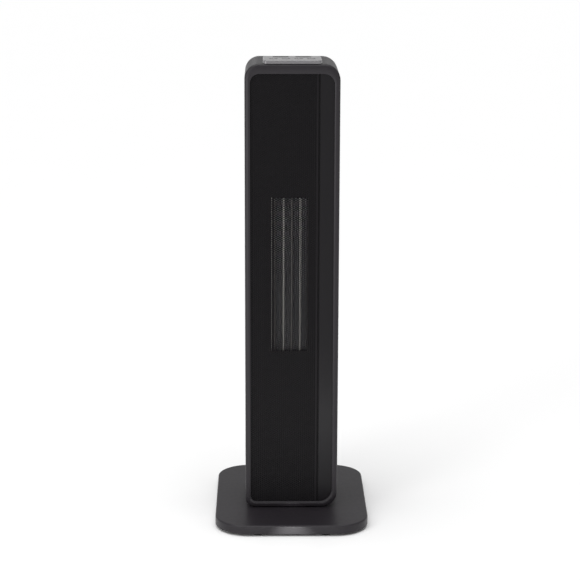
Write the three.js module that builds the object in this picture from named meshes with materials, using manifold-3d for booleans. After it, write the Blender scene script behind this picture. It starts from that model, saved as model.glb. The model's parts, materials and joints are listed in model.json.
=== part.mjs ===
// Ceramic tower space heater: a slim oscillating tower on a wide weighted base.
// Millimetres. +Z up, -Y towards the front grille, +X to the right when facing the grille.
// Origin: on the ground, under the middle of the base, which is also the oscillation axis.
import * as THREE from "three";
import { mergeVertices } from "three/addons/utils/BufferGeometryUtils.js";
import Module from "manifold-3d";

const wasm = await Module();
wasm.setup();

// ---------- driving dimensions ----------
const gap = 0.3; // free space between two touching pieces
const wall = 2.5; // moulded shells
const past = 5; // how far a cutting tool runs past the face it cuts
const sink = 0.1; // how far two solids that are joined reach into each other

// base
const baseWidth = 193;
const baseDepth = 238;
const baseCorner = 42;
const baseRim = 11; // height of the side wall
const baseEdge = 2; // rounding of the rim
const footHeight = 3;
const footRadius = 8;
const footSideInset = 54; // foot centre to the side of the base
const footEndInset = 12.5; // foot centre to the front or back of the base
const plateThick = 2;
const ballastThick = 4;
const ballastInset = 20;
const screwSideInset = 34;
const screwEndInset = 34;
const ballastHoleMargin = 2; // round the flange of the pivot post

// tower outside
const towerWidth = 117;
const towerDepth = 106;
const towerHeight = 566.2;
const towerLift = 0.8; // gap between the base and the tower
const cornerTopLeft = 18;
const cornerTopRight = 20;
const cornerBottomRight = 20;
const cornerBottomLeft = 11;
const frontEdge = 3; // rounding round the front face
const backEdge = 8; // rounding round the back face
const bezelDepth = 12;
const bezelLip = 2.8; // thickness of the ring in front of the grille
const ringSide = 7;
const ringTop = 12;
const ringBottom = 7.4;
const rearCoverDepth = 34;

// grille and smooth strip, both held behind the bezel ring
const grilleThick = 1.2;
const behindRing = 2.5; // how far both reach behind the ring
const stripWidth = 19.5; // visible width of the smooth strip
const slotWidth = 6;
const slotHeight = 40;
const slotBar = 3.4; // material between two slots
const sheetCorner = 1; // corners where the grille meets the strip
const baffleThick = 1.2;
const windowBeside = 3.5; // the baffle's window beyond the heating element on the left
const windowCover = 2.5; // how far the baffle covers the element on the right
const windowOver = 3; // the window beyond the top of the element
const windowUnder = 1.3; // the baffle covers the bottom of the element
const windowCorner = 2;

// control panel on top
const panelSideMargin = 22.5; // side of the tower to side of the panel
const panelFrontMargin = 1.5; // the panel overhangs the rounded front edge
const panelDepth = 54;
const panelCorner = 5;
const panelThick = 4;
const panelEdge = 0.8;
const panelLedge = 4; // overlap of the panel on the shell round its opening
const lensSpacing = 27.7; // middle to middle of the two windows
const lensInset = 9.5; // back of the panel to the middle of the windows
const lensCorner = 3;
const lensWidth = 19;
const lensDepth = 11;
const lensThick = 1.4;
const buttonCount = 4;
const buttonPitch = 15.5;
const buttonInset = 24; // front of the panel to the middle of the buttons
const buttonWidth = 10;
const buttonDepth = 7;
const buttonProud = 0.4;
const buttonFlange = 1;
const buttonTravel = 1;
const boardThick = 1.6;
const boardDrop = 9; // top of the shell to the top of the control board
const boardInset = 6; // front of the panel to the front of the control board
const switchSize = 6;
const switchHeight = 1.6;
const displayWidth = 16;
const displayDepth = 9;
const displayHeight = 6;

// heater element
const barCount = 5;
const barPitch = 10.6;
const barThick = 2.6;
const elementDepth = 16;
const elementHeight = 195;
const elementRise = 18.6; // middle of the element above the middle of the tower
const elementBehindGrille = 9;
const endHeight = 9; // moulded holder at each end of the element
const finPitch = 13;
const finThick = 0.8;
const finInset = 1; // front and back of a fin behind the faces of the bars
const endOverhang = 2; // holder beyond the outer bars
const endFrameSide = 6; // rim left and right of the holder's air window
const endFrameFront = 4;
const ductWall = 1;
const ductLip = 1; // duct in front of the element
const cutoutRadius = 8; // thermal cut-out: round body, bracket and two tabs
const cutoutHeight = 5;
const cutoutBracket = [26, 8, 1.2];
const cutoutTabRadius = 2;
const cutoutTabTop = 9;
const cutoutTabSpacing = 8;

// cross-flow fan
const fanClearance = 3; // round the wheel
const fanBlades = 14;
const bladeThick = 1;
const bladeChord = 7;
const bladeSteps = 2; // flats along a blade
const bladeInset = 0.5; // blade tips behind the rim of the discs
const bladeCamber = 1.6; // bulge of a blade as a share of its chord, times four
const bladeLean = 0.12; // radians from tip to root
const discThick = 2;
const discRim = 1; // rim of the middle disc inside the blades
const shaftRadius = 2.5;
const shaftBelow = 2; // shaft under the housing
const shaftEnd = 8; // shaft stops under the top of the motor
const housingWall = 1.6;
const housingCorner = 6;
const housingMargin = 3.2; // end plates beyond the scroll
const scrollGrowth = 0.2; // the scroll opens by this much from its start
const scrollStart = 1.06 * Math.PI;
const scrollEnd = 0.62 * Math.PI;
const scrollKnee = 0.2; // heights of the bends in the two walls, as shares of the wheel's clearance
const tongueKnee = 0.35;
const tongueInnerKnee = 0.3;
const tongueTip = 0.1;
const tongueFlare = 3;
const motorHeight = 30;
const motorShare = 0.8; // radius of the can as a share of the wheel's
const motorCapShare = 0.45;
const motorCapHeight = 6;
const bushRadius = 7;
const bushBelow = 3;

// oscillation drive
const gearModule = 1.2;
const fixedTeeth = 40;
const pinionTeeth = 15;
const gearThick = 6;
const toothRoot = 1.15; // depth of a tooth under the pitch circle, in modules
const toothTip = 0.8;
const toothShape = [0.29, 0.11]; // half width at the root and at the tip, as shares of a step
const pinionEase = 0.5; // pinion thinner than the gear, at either face
const pinionShaftRadius = 2.5;
const pinionShaftRise = 6;
const backlash = 0.25; // added to the centre distance
const postRadius = 16;
const postWall = 5;
const postFlange = 12;
const postFlangeThick = 2.4;
const slideRingWidth = 18;
const slideRingThick = 1.4;
const oscMotorHeight = 14;
const oscMotorRise = 1.5; // over the gears
const oscMotorMargin = 2; // to the wall of the tower
const oscMotorLegRadius = 3;

// electrics and tilt switch
const boardAboveMotor = 32;
const boardHalfWidth = 36;
const powerBoardBelowFan = 8;
const powerBoardInset = 24; // inside of the back wall to the board
const partRise = 4; // bottom of the board to its relays and terminals
const relay = [16, 14, 12];
const relaySpots = [-24, -4];
const terminal = [22, 12, 10];
const terminalX = 10;
const capacitor = [24, 16, 10];
const capacitorX = -10;
const capacitorRise = 24;
const tiltArm = 15;
const tiltPinHeight = 25;
const tiltPinRadius = 1.5;
const tiltPinLength = 15;
const tiltArmThick = 2.4;
const tiltArmDepth = 2;
const tiltBobRadius = 5;
const tiltBobWidth = 7;
const tiltFoot = 20;
const tiltWidth = 14; // over both cheeks
const tiltCheek = 2;
const tiltDepth = 12;
const tiltHeight = 38;
const tiltSwitchHeight = 8;
const tiltSideMargin = 8; // to the rounded corner of the tower
const tiltBehindGrille = 5;

// back of the tower
const doorSideMargin = 18;
const doorBottom = 120; // above the bottom of the tower
const doorToCup = 41; // top of the door to the flange of the carrying recess
const doorThick = 2.2;
const doorCorner = 6;
const doorSlot = 5;
const doorRib = 6;
const doorFrame = 7;
const ledgeWidth = 4;
const ledgeThick = 3;
const meshThick = 1.6;
const cupWidth = 70;
const cupHeight = 26;
const cupDepth = 20;
const cupWall = 1.6;
const cupFlange = 3;
const cupFlangeThick = 1;
const tabHalfWidth = 12; // finger tab of the filter door
const tabHeight = 3;
const tabProud = 2;
const cupBelowTop = 52; // top of the tower to the middle of the carrying recess
const fittingHeight = 44; // rocker switch and cord gland above the bottom of the tower
const fittingInset = 28; // side of the tower to the middle of either fitting
const rockerWidth = 13;
const rockerHeight = 19;
const rockerFlange = 2;
const rockerFlangeThick = 1.2;
const rockerWall = 1.2;
const rockerDepth = 12;
const rockerPivotDepth = 4;
const rockerProfile = [
  // depth behind or in front of the pivot, and distance inside the end of the rocker at its bottom or top
  [-3, 1.5, -1],
  [-3, 1.5, 1],
  [3, 0.7, 1],
  [6.5, 1.3, 1],
  [5, 0, 0],
  [4.2, 0.9, -1],
  [2, 0.7, -1],
];
const glandBore = 4;
const glandRadius = 8;
const glandDepth = 10;
const glandNeck = 2.3; // sleeve inside the flange
const glandHole = 2;
const glandProud = 3;
const glandTaper = 1.5;
const glandMouth = 0.6;
const glandMouthDepth = 0.8;
const screwRadius = 1.5;
const headRadius = 3.5;
const headThick = 1.4;
const rearScrewDrop = 24; // top of the tower to the rear screws
const rearScrewLength = 16;
const bossRadius = 4.5;
const bossWeb = 2;

// ---------- worked out from the driving dimensions ----------
const baseTop = footHeight + baseRim;
const frontY = -towerDepth / 2;
const backY = towerDepth / 2;
const halfWidth = towerWidth / 2;
const innerHalf = halfWidth - wall;
const seamY = backY - rearCoverDepth;
const slideSeat = baseTop + towerLift - gap - slideRingThick; // bottom of the slide ring
const bezelBack = frontY + bezelDepth;
const grilleFront = frontY + bezelLip + gap;
const openLeft = -halfWidth + ringSide;
const openRight = halfWidth - ringSide;
const openBottom = ringBottom;
const openTop = towerHeight - ringTop;
const stripLeft = openRight - stripWidth;
const baffleFront = grilleFront + grilleThick + gap;
const elementWidth = (barCount - 1) * barPitch + barThick;
const elementBottom = towerHeight / 2 + elementRise - elementHeight / 2;
const elementTop = elementBottom + elementHeight;
const elementFront = grilleFront + grilleThick + elementBehindGrille;
const elementBack = elementFront + elementDepth;
const ductBack = elementBack + gap;
const ledgeFront = backY - doorThick - gap - ledgeThick;
const fanRadius = (ledgeFront - ductBack) / 2 - fanClearance - housingWall;
const fanY = ductBack + housingWall + fanClearance + fanRadius;
const housingBottom = elementBottom - endHeight;
const housingTop = elementTop + endHeight;
const gearRadius = (gearModule * fixedTeeth) / 2;
const pinionRadius = (gearModule * pinionTeeth) / 2;
const pinionX = -(gearRadius + pinionRadius + backlash);
const gearBottom = wall + gap;
const gearTop = gearBottom + gearThick;
const panelWidth = towerWidth - 2 * panelSideMargin;
const panelFront = frontY + panelFrontMargin;
const panelBack = panelFront + panelDepth;
const panelMiddle = panelFront + panelDepth / 2;
const panelBottom = towerHeight + gap;
const panelTop = panelBottom + panelThick;
const doorWidth = towerWidth - 2 * doorSideMargin;
const cupMiddle = towerHeight - cupBelowTop;
const doorHeight = cupMiddle - cupHeight / 2 - cupFlange - doorToCup - doorBottom;
const fittingX = halfWidth - fittingInset;
const tiltX = halfWidth - cornerBottomRight - tiltSideMargin;
const tiltY = grilleFront + grilleThick + tiltBehindGrille + tiltFoot / 2;
const buttonY = panelFront + buttonInset;
const lensY = panelBack - lensInset;
const lensX = lensSpacing / 2;
const buttonSpots = Array.from({ length: buttonCount }, (_, i) => (i - (buttonCount - 1) / 2) * buttonPitch);
const rearScrewX = halfWidth - backEdge - headRadius - 2 * gap;
const rearScrewZ = towerHeight - rearScrewDrop;

// ---------- materials ----------
function finish(color, roughness, metalness = 0) {
  return new THREE.MeshStandardMaterial({ color, roughness, metalness });
}
const shellPlastic = finish(0x39373a, 0.45);
const innerPlastic = finish(0x2a292b, 0.6);
const grilleMetal = finish(0x1c1b1d, 0.5, 0.3);
const stripPlastic = finish(0x2a282b, 0.3);
const panelGloss = finish(0x8b898c, 0.2, 0.4);
const lensGloss = finish(0x1a1a1c, 0.1);
const rubber = finish(0x161616, 0.9);
const steel = finish(0x9a9a9c, 0.4, 1);
const ceramic = finish(0xc9c4b8, 0.7);
const aluminium = finish(0xb4b5b8, 0.4, 1);
const nylon = finish(0xd9d6cc, 0.5);
const boardGreen = finish(0x1f5a3a, 0.6);
const copperMotor = finish(0x6d6f73, 0.45, 0.9);
const filterMesh = finish(0x303032, 0.9);

// ---------- solids ----------
function solidOf(geometry) {
  const bare = geometry.clone();
  bare.deleteAttribute("normal");
  bare.deleteAttribute("uv");
  const merged = mergeVertices(bare, 1e-4);
  return new wasm.Manifold(
    new wasm.Mesh({
      numProp: 3,
      vertProperties: new Float32Array(merged.attributes.position.array),
      triVerts: new Uint32Array(merged.index.array),
    }),
  );
}

function geometryOf(solid) {
  const mesh = solid.getMesh();
  const geometry = new THREE.BufferGeometry();
  geometry.setAttribute("position", new THREE.BufferAttribute(mesh.vertProperties, mesh.numProp));
  geometry.setIndex(new THREE.BufferAttribute(mesh.triVerts, 1));
  return geometry;
}

function join(...geometries) {
  return geometryOf(geometries.map(solidOf).reduce((all, next) => all.add(next)));
}

function cut(geometry, ...tools) {
  return geometryOf(tools.map(solidOf).reduce((left, tool) => left.subtract(tool), solidOf(geometry)));
}

function block(x0, x1, y0, y1, z0, z1) {
  const box = new THREE.BoxGeometry(x1 - x0, y1 - y0, z1 - z0);
  return box.translate((x0 + x1) / 2, (y0 + y1) / 2, (z0 + z1) / 2);
}

// A round bar standing on z0.
function rod(radius, z0, z1, sides = 24) {
  const bar = new THREE.CylinderGeometry(radius, radius, z1 - z0, sides);
  return bar.rotateX(Math.PI / 2).translate(0, 0, (z0 + z1) / 2);
}

// A round bar lying along Y.
function rodY(radius, y0, y1, sides = 16) {
  return new THREE.CylinderGeometry(radius, radius, y1 - y0, sides).translate(0, (y0 + y1) / 2, 0);
}

// A round bar lying along X, centred on the origin.
function rodX(radius, width, sides = 12) {
  return new THREE.CylinderGeometry(radius, radius, width, sides).rotateZ(Math.PI / 2);
}

// A box of a width, depth and height that stands on z0, from x0 to the right and from y1 forwards.
function component([width, depth, height], x0, y1, z0) {
  return block(x0, x0 + width, y1 - depth, y1 + sink, z0, z0 + height);
}

// A solid of revolution about Z from [radius, height] corners, closed on itself.
function turned(corners, sides = 32) {
  const profile = [...corners, corners[0]].map(([r, z]) => new THREE.Vector2(r, z));
  return new THREE.LatheGeometry(profile, sides).rotateX(Math.PI / 2);
}

function ring(inner, outer, z0, z1, sides = 32) {
  return turned([[inner, z0], [outer, z0], [outer, z1], [inner, z1]], sides);
}

// A rounded rectangle; radii run top left, top right, bottom right, bottom left.
function rounded(left, right, bottom, top, [tl, tr, br, bl]) {
  const quarter = Math.PI / 2;
  const shape = new THREE.Shape();
  shape.moveTo(left + bl, bottom);
  shape.lineTo(right - br, bottom);
  shape.absarc(right - br, bottom + br, br, -quarter, 0, false);
  shape.lineTo(right, top - tr);
  shape.absarc(right - tr, top - tr, tr, 0, quarter, false);
  shape.lineTo(left + tl, top);
  shape.absarc(left + tl, top - tl, tl, quarter, 2 * quarter, false);
  shape.lineTo(left, bottom + bl);
  shape.absarc(left + bl, bottom + bl, bl, 2 * quarter, 3 * quarter, false);
  return shape;
}

function centred(width, depth, radius) {
  return rounded(-width / 2, width / 2, -depth / 2, depth / 2, [radius, radius, radius, radius]);
}

// A shape in the X-Y plane, raised from z0 to z1, with rounded rims when edge is given.
function raised(shape, z0, z1, edge = 0, curveSegments = 4) {
  const solid = new THREE.ExtrudeGeometry(shape, {
    depth: z1 - z0 - 2 * edge,
    curveSegments,
    bevelEnabled: edge > 0,
    bevelThickness: edge,
    bevelSize: edge,
    bevelOffset: -edge,
    bevelSegments: 3,
  });
  return solid.translate(0, 0, z0 + edge);
}

// A shape in the X-Z plane, filled from y0 back to y1.
function upright(shape, y0, y1, edge = 0, curveSegments = 4) {
  return raised(shape, -y1, -y0, edge, curveSegments).rotateX(Math.PI / 2);
}

function piece(parent, name, geometry, material, x = 0, y = 0, z = 0) {
  const mesh = new THREE.Mesh(geometry, material);
  mesh.name = name;
  mesh.position.set(x, y, z);
  parent.add(mesh);
  return mesh;
}

// ---------- outlines ----------
// The tower seen from the front, drawn in by inset all round.
function towerOutline(inset = 0) {
  const corners = [cornerTopLeft, cornerTopRight, cornerBottomRight, cornerBottomLeft];
  return rounded(
    -halfWidth + inset,
    halfWidth - inset,
    inset,
    towerHeight - inset,
    corners.map((radius) => radius - inset),
  );
}

function ringOpening() {
  const radii = [
    cornerTopLeft - ringSide,
    cornerTopRight - ringSide,
    cornerBottomRight - ringBottom / 2,
    cornerBottomLeft - ringBottom / 2,
  ];
  return rounded(openLeft, openRight, openBottom, openTop, radii);
}

// ---------- base ----------
const screwSpots = [-1, 1].flatMap((sx) =>
  [-1, 1].map((sy) => [sx * (baseWidth / 2 - screwSideInset), sy * (baseDepth / 2 - screwEndInset)]),
);

function baseShell() {
  const under = baseTop - wall;
  const outside = raised(
    centred(baseWidth, baseDepth, baseCorner), footHeight - baseEdge, baseTop, baseEdge, 6);
  const inside = raised(
    centred(baseWidth - 2 * wall, baseDepth - 2 * wall, baseCorner - wall), -past, under, 0, 6);
  const trimmed = cut(outside, block(-baseWidth, baseWidth, -baseDepth, baseDepth, -past, footHeight));
  const seat = rod(postRadius + slideRingWidth + gap, slideSeat - gap, baseTop + past, 32);
  const hollow = cut(trimmed, inside, rod(postRadius + gap, 0, baseTop + past), seat);
  const boss = ring(screwRadius + gap, bossRadius, footHeight + plateThick + 2 * gap, under + wall / 2, 16);
  const bosses = screwSpots.map(([x, y]) => boss.clone().translate(x, y, 0));
  return join(hollow, ...bosses);
}

function basePlate() {
  const inset = 2 * (wall + gap);
  const sheet = raised(
    centred(baseWidth - inset, baseDepth - inset, baseCorner - wall - gap),
    footHeight + gap, footHeight + gap + plateThick, 0, 5);
  const holes = screwSpots.map(([x, y]) => rod(headRadius + gap, 0, baseTop, 16).translate(x, y, 0));
  return cut(sheet, ...holes);
}

function ballast() {
  const bottom = footHeight + plateThick + 2 * gap;
  const slab = raised(
    centred(baseWidth - 2 * ballastInset, baseDepth - 2 * ballastInset, baseCorner - ballastInset),
    bottom, bottom + ballastThick, 0, 3);
  const middle = rod(postRadius + postFlange + ballastHoleMargin, 0, baseTop);
  const holes = screwSpots.map(([x, y]) => rod(bossRadius + gap, 0, baseTop, 16).translate(x, y, 0));
  return cut(slab, middle, ...holes);
}

function foot() {
  return rod(footRadius, 0, footHeight, 20);
}

function baseScrew() {
  const head = footHeight + gap;
  return turned([
    [0, head],
    [headRadius, head],
    [headRadius, head + headThick],
    [screwRadius, head + headThick],
    [screwRadius, baseTop - wall],
    [0, baseTop - wall],
  ], 12);
}

// The hollow post that the tower turns on, held under the top of the base by its flange.
function pivotPost() {
  const flangeTop = baseTop - wall - gap;
  const bore = postRadius - postWall;
  const topEnd = baseTop + towerLift + gearTop;
  return turned([
    [bore, flangeTop - postFlangeThick],
    [postRadius + postFlange, flangeTop - postFlangeThick],
    [postRadius + postFlange, flangeTop],
    [postRadius, flangeTop],
    [postRadius, topEnd],
    [bore, topEnd],
  ]);
}

// A spur gear blank with straight-sided teeth; turn is the angle of its first tooth.
function gearShape(teeth, turn) {
  const pitch = (gearModule * teeth) / 2;
  const root = pitch - toothRoot * gearModule;
  const tip = pitch + toothTip * gearModule;
  const step = (2 * Math.PI) / teeth;
  const [wide, narrow] = toothShape;
  const corners = [[root, -wide], [tip, -narrow], [tip, narrow], [root, wide]];
  const points = [];
  for (let tooth = 0; tooth < teeth; tooth++) {
    for (const [radius, share] of corners) {
      const angle = turn + (tooth + share) * step;
      points.push(new THREE.Vector2(radius * Math.cos(angle), radius * Math.sin(angle)));
    }
  }
  return new THREE.Shape(points);
}

function fixedGear() {
  const disc = raised(gearShape(fixedTeeth, 0), gearBottom, gearTop);
  return cut(disc, rod(postRadius + gap, 0, gearTop + past, 32));
}

function buildBase() {
  const base = new THREE.Group();
  piece(base, "base_shell", baseShell(), shellPlastic);
  piece(base, "base_plate", basePlate(), innerPlastic);
  piece(base, "ballast_plate", ballast(), steel);
  piece(base, "pivot_post", pivotPost(), innerPlastic);
  piece(base, "slide_ring", ring(postRadius + gap, postRadius + slideRingWidth, 0, slideRingThick),
    nylon, 0, 0, slideSeat);
  piece(base, "fixed_gear", fixedGear(), nylon, 0, 0, baseTop + towerLift);
  const footX = baseWidth / 2 - footSideInset;
  const footY = baseDepth / 2 - footEndInset;
  [[-1, -1], [1, -1], [1, 1], [-1, 1]].forEach(([sx, sy], i) =>
    piece(base, "foot_" + (i + 1), foot(), rubber, sx * footX, sy * footY, 0));
  screwSpots.forEach(([x, y], i) => piece(base, "base_screw_" + (i + 1), baseScrew(), steel, x, y, 0));
  return base;
}

// ---------- tower housing ----------
function frontBezel() {
  const outside = upright(towerOutline(), frontY, bezelBack + past, frontEdge, 3);
  const trim = block(-towerWidth, towerWidth, bezelBack, backY, -past, towerHeight + past);
  const inside = upright(towerOutline(wall), frontY + bezelLip, bezelBack + past, 0, 3);
  const opening = upright(ringOpening(), frontY - past, frontY + bezelLip + past, 0, 3);
  return cut(outside, trim, inside, opening);
}

// The hole in the top of the shell under the panel; it stays clear of the front frame.
function panelOpening() {
  const half = panelWidth / 2 - panelLedge;
  const front = bezelBack + gap + panelLedge;
  const radii = [panelCorner, panelCorner, panelCorner, panelCorner];
  return raised(rounded(-half, half, front, panelBack - panelLedge, radii),
    towerHeight - wall - past, towerHeight + past);
}

function rearBoss(side) {
  const x = side * rearScrewX;
  const inWall = side * (innerHalf + wall / 2);
  const web = block(Math.min(x, inWall), Math.max(x, inWall), seamY - 2 * bossRadius, seamY - gap,
    rearScrewZ - bossWeb / 2, rearScrewZ + bossWeb / 2);
  const tube = rodY(bossRadius, seamY - 2 * bossRadius, backY - wall - backEdge / 2)
    .translate(x, 0, rearScrewZ);
  return join(web, tube);
}

function bodyShell() {
  const outline = towerOutline();
  outline.holes.push(towerOutline(wall));
  const sleeve = upright(outline, bezelBack + gap, seamY - gap, 0, 3);
  const bored = cut(sleeve, panelOpening(), rod(postRadius + gap, -past, wall + past));
  const bosses = [-1, 1].map(rearBoss);
  const pilot = [-1, 1].map((side) =>
    rodY(screwRadius + gap, backY - wall - rearScrewLength, backY)
      .translate(side * rearScrewX, 0, rearScrewZ));
  return cut(join(bored, ...bosses), ...pilot);
}

function frontGrille() {
  const shape = rounded(openLeft - behindRing, stripLeft - gap / 2, openBottom - behindRing,
    openTop + behindRing,
    [cornerTopLeft - ringSide + behindRing, sheetCorner, sheetCorner, cornerBottomLeft - behindRing]);
  const left = openLeft + slotBar;
  const width = stripLeft - slotBar - left;
  const columns = Math.floor((width + slotBar) / (slotWidth + slotBar));
  const stepX = (width + slotBar) / columns;
  const bottom = openBottom + cornerBottomLeft;
  const height = openTop - cornerTopLeft - bottom;
  const rows = Math.floor((height + slotBar) / (slotHeight + slotBar));
  const stepZ = (height + slotBar) / rows;
  const slots = [];
  for (let column = 0; column < columns; column++) {
    for (let row = 0; row < rows; row++) {
      const x = left + column * stepX;
      const z = bottom + row * stepZ;
      slots.push(block(x, x + stepX - slotBar, frontY, bezelBack, z, z + stepZ - slotBar));
    }
  }
  return cut(upright(shape, grilleFront, grilleFront + grilleThick, 0, 3), ...slots);
}

function sideStrip() {
  const shape = rounded(stripLeft + gap / 2, openRight + behindRing, openBottom - behindRing,
    openTop + behindRing,
    [sheetCorner, cornerTopRight - ringSide + behindRing, cornerBottomRight - behindRing, sheetCorner]);
  return upright(shape, grilleFront, grilleFront + grilleThick, 0, 3);
}

// The plate behind the grille that keeps the air inside, with a window in front of the heating element.
function airBaffle() {
  const shape = towerOutline(wall + gap);
  const radii = [windowCorner, windowCorner, windowCorner, windowCorner];
  const halfElement = elementWidth / 2;
  shape.holes.push(rounded(-halfElement - windowBeside, halfElement - windowCover,
    elementBottom + windowUnder, elementTop + windowOver, radii));
  return upright(shape, baffleFront, baffleFront + baffleThick, 0, 3);
}

function doorOpening(grow) {
  const half = doorWidth / 2 + grow;
  const radius = doorCorner + grow;
  const radii = [radius, radius, radius, radius];
  return rounded(-half, half, doorBottom - grow, doorBottom + doorHeight + grow, radii);
}

function rearCover() {
  const outside = upright(towerOutline(), seamY - backEdge, backY, backEdge, 3);
  const trim = block(-towerWidth, towerWidth, frontY, seamY, -past, towerHeight + past);
  const inside = upright(towerOutline(wall), seamY - 2 * backEdge, backY - wall, backEdge - wall, 3);
  const shell = cut(outside, trim, inside);
  const ledge = upright(doorOpening(ledgeWidth), ledgeFront, backY - wall + gap, 0, 2);
  const seat = upright(doorOpening(gap), backY - doorThick - gap, backY + past, 0, 2);
  const through = upright(doorOpening(-ledgeWidth), ledgeFront - past, backY, 0, 2);
  const near = backY - wall - past;
  const far = backY + past;
  const cup = block(-cupWidth / 2, cupWidth / 2, near, far,
    cupMiddle - cupHeight / 2, cupMiddle + cupHeight / 2);
  const rocker = block(fittingX - rockerWidth / 2, fittingX + rockerWidth / 2, near, far,
    fittingHeight - rockerHeight / 2, fittingHeight + rockerHeight / 2);
  const gland = rodY(glandRadius - glandHole, near, far, 20).translate(-fittingX, 0, fittingHeight);
  const pivot = rod(postRadius + gap, -past, wall + past);
  const screws = [-1, 1].map((side) =>
    join(
      rodY(screwRadius + gap, backY - 2 * wall, backY + past),
      rodY(headRadius + gap, backY - headThick, backY + past),
    ).translate(side * rearScrewX, 0, rearScrewZ));
  return cut(join(shell, ledge), seat, through, cup, rocker, gland, pivot, ...screws);
}

function rearScrew() {
  return join(
    rodY(headRadius, -headThick + gap, 0, 12),
    rodY(screwRadius, -rearScrewLength + wall, -gap, 12),
  );
}

function filterDoor() {
  const slots = [];
  const slotCount = Math.floor((doorHeight - 2 * doorFrame + doorRib) / (doorSlot + doorRib));
  const step = (doorHeight - 2 * doorFrame + doorRib) / slotCount;
  const half = doorWidth / 2 - doorFrame;
  for (let slot = 0; slot < slotCount; slot++) {
    const z = doorBottom + doorFrame + slot * step;
    for (const [x0, x1] of [[-half, -doorRib / 2], [doorRib / 2, half]]) {
      slots.push(block(x0, x1, backY - wall - past, backY + past, z, z + doorSlot));
    }
  }
  const panel = cut(upright(doorOpening(0), backY - doorThick, backY, 0, 2), ...slots);
  const tabZ = doorBottom + doorHeight - doorFrame / 2;
  const tab = block(-tabHalfWidth, tabHalfWidth, backY - doorThick / 2, backY + tabProud,
    tabZ - tabHeight / 2, tabZ + tabHeight / 2);
  return join(panel, tab);
}

function filterScreen() {
  const front = backY - doorThick - gap - meshThick;
  return upright(doorOpening(-ledgeWidth - gap), front, front + meshThick, 0, 2);
}

// The finger recess used to carry the heater, open to the back.
function handleCup() {
  const halfX = cupWidth / 2 - gap;
  const halfZ = cupHeight / 2 - gap;
  const outer = block(-halfX, halfX, backY - cupDepth, backY + gap + sink,
    cupMiddle - halfZ, cupMiddle + halfZ);
  const flange = block(-halfX - cupFlange, halfX + cupFlange, backY + gap, backY + gap + cupFlangeThick,
    cupMiddle - halfZ - cupFlange, cupMiddle + halfZ + cupFlange);
  const hollow = block(-halfX + cupWall, halfX - cupWall, backY - cupDepth + cupWall, backY + past,
    cupMiddle - halfZ + cupWall, cupMiddle + halfZ - cupWall);
  return cut(join(outer, flange), hollow);
}

// ---------- control panel ----------
// A flat oval; its ends stop just short of full half circles, so that every side keeps a length.
function pill(width, depth) {
  return centred(width, depth, depth / 2 - sink / 10);
}

function controlPanel() {
  const plate = raised(centred(panelWidth, panelDepth, panelCorner), panelBottom, panelTop, panelEdge)
    .translate(0, panelMiddle, 0);
  const holes = buttonSpots.map((x) =>
    raised(pill(buttonWidth + 2 * gap, buttonDepth + 2 * gap), towerHeight - past, panelTop + past)
      .translate(x, buttonY, 0));
  const seat = centred(lensWidth + 2 * gap, lensDepth + 2 * gap, lensCorner);
  const seats = [-1, 1].map((side) =>
    raised(seat, panelTop - lensThick - gap, panelTop + past).translate(side * lensX, lensY, 0));
  return cut(plate, ...holes, ...seats);
}

function lens() {
  return raised(centred(lensWidth, lensDepth, lensCorner - gap), -lensThick, 0);
}

// Local frame: the top face of the panel is at zero height.
function button() {
  const under = -panelThick - gap - buttonTravel;
  const cap = raised(pill(buttonWidth, buttonDepth), under - buttonFlange, buttonProud);
  const flange = raised(pill(buttonWidth + 2 * buttonFlange, buttonDepth + 2 * buttonFlange),
    under - buttonFlange, under + gap);
  return join(cap, flange);
}

function controlBoard() {
  const top = towerHeight - boardDrop;
  const sheet = block(-panelWidth / 2, panelWidth / 2, panelFront + boardInset, panelBack - panelLedge,
    top - boardThick, top);
  const half = switchSize / 2;
  const switches = buttonSpots.map((x) =>
    block(x - half, x + half, buttonY - half, buttonY + half, top - sink, top + switchHeight));
  const display = block(-lensX - displayWidth / 2, -lensX + displayWidth / 2,
    lensY - displayDepth / 2, lensY + displayDepth / 2, top - sink, top + displayHeight);
  return join(sheet, display, ...switches);
}

function buildControls(tower) {
  piece(tower, "control_panel", controlPanel(), panelGloss);
  piece(tower, "display_lens", lens(), lensGloss, -lensX, lensY, panelTop);
  piece(tower, "signal_lens", lens(), lensGloss, lensX, lensY, panelTop);
  piece(tower, "control_board", controlBoard(), boardGreen);
  buttonSpots.forEach((x, i) =>
    piece(tower, "button_" + (i + 1), button(), panelGloss, x, buttonY, panelTop));
}

// ---------- heater element ----------
function heaterBar() {
  return block(-barThick / 2, barThick / 2, elementFront, elementBack, 0, elementHeight);
}

// A sheet folded to and fro between two bars.
function finPack() {
  const half = (barPitch - barThick) / 2 - gap;
  const folds = Math.floor(elementHeight / finPitch);
  const rise = (elementHeight - finThick) / folds;
  const front = elementFront + finInset;
  const back = elementBack - finInset;
  const parts = [];
  for (let fold = 0; fold <= folds; fold++) {
    const z = fold * rise;
    parts.push(block(-half, half, front, back, z, z + finThick));
    if (fold < folds) {
      const side = fold % 2 ? half - finThick : -half;
      parts.push(block(side, side + finThick, front, back, z, z + rise + finThick));
    }
  }
  return join(...parts);
}

function heaterEnd() {
  const half = elementWidth / 2 + endOverhang;
  const body = block(-half, half, elementFront, elementBack, 0, endHeight - gap);
  const window = block(-half + endFrameSide, half - endFrameSide, elementFront + endFrameFront,
    elementBack - endFrameFront, -past, endHeight + past);
  return cut(body, window);
}

function heaterDuct() {
  const half = elementWidth / 2 + endOverhang + gap;
  const outer = block(-half - ductWall, half + ductWall, elementFront - ductLip, elementBack,
    housingBottom - gap - ductWall, housingTop + gap + ductWall);
  const inner = block(-half, half, elementFront - past, elementBack + past,
    housingBottom - gap, housingTop + gap);
  return cut(outer, inner);
}

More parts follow.
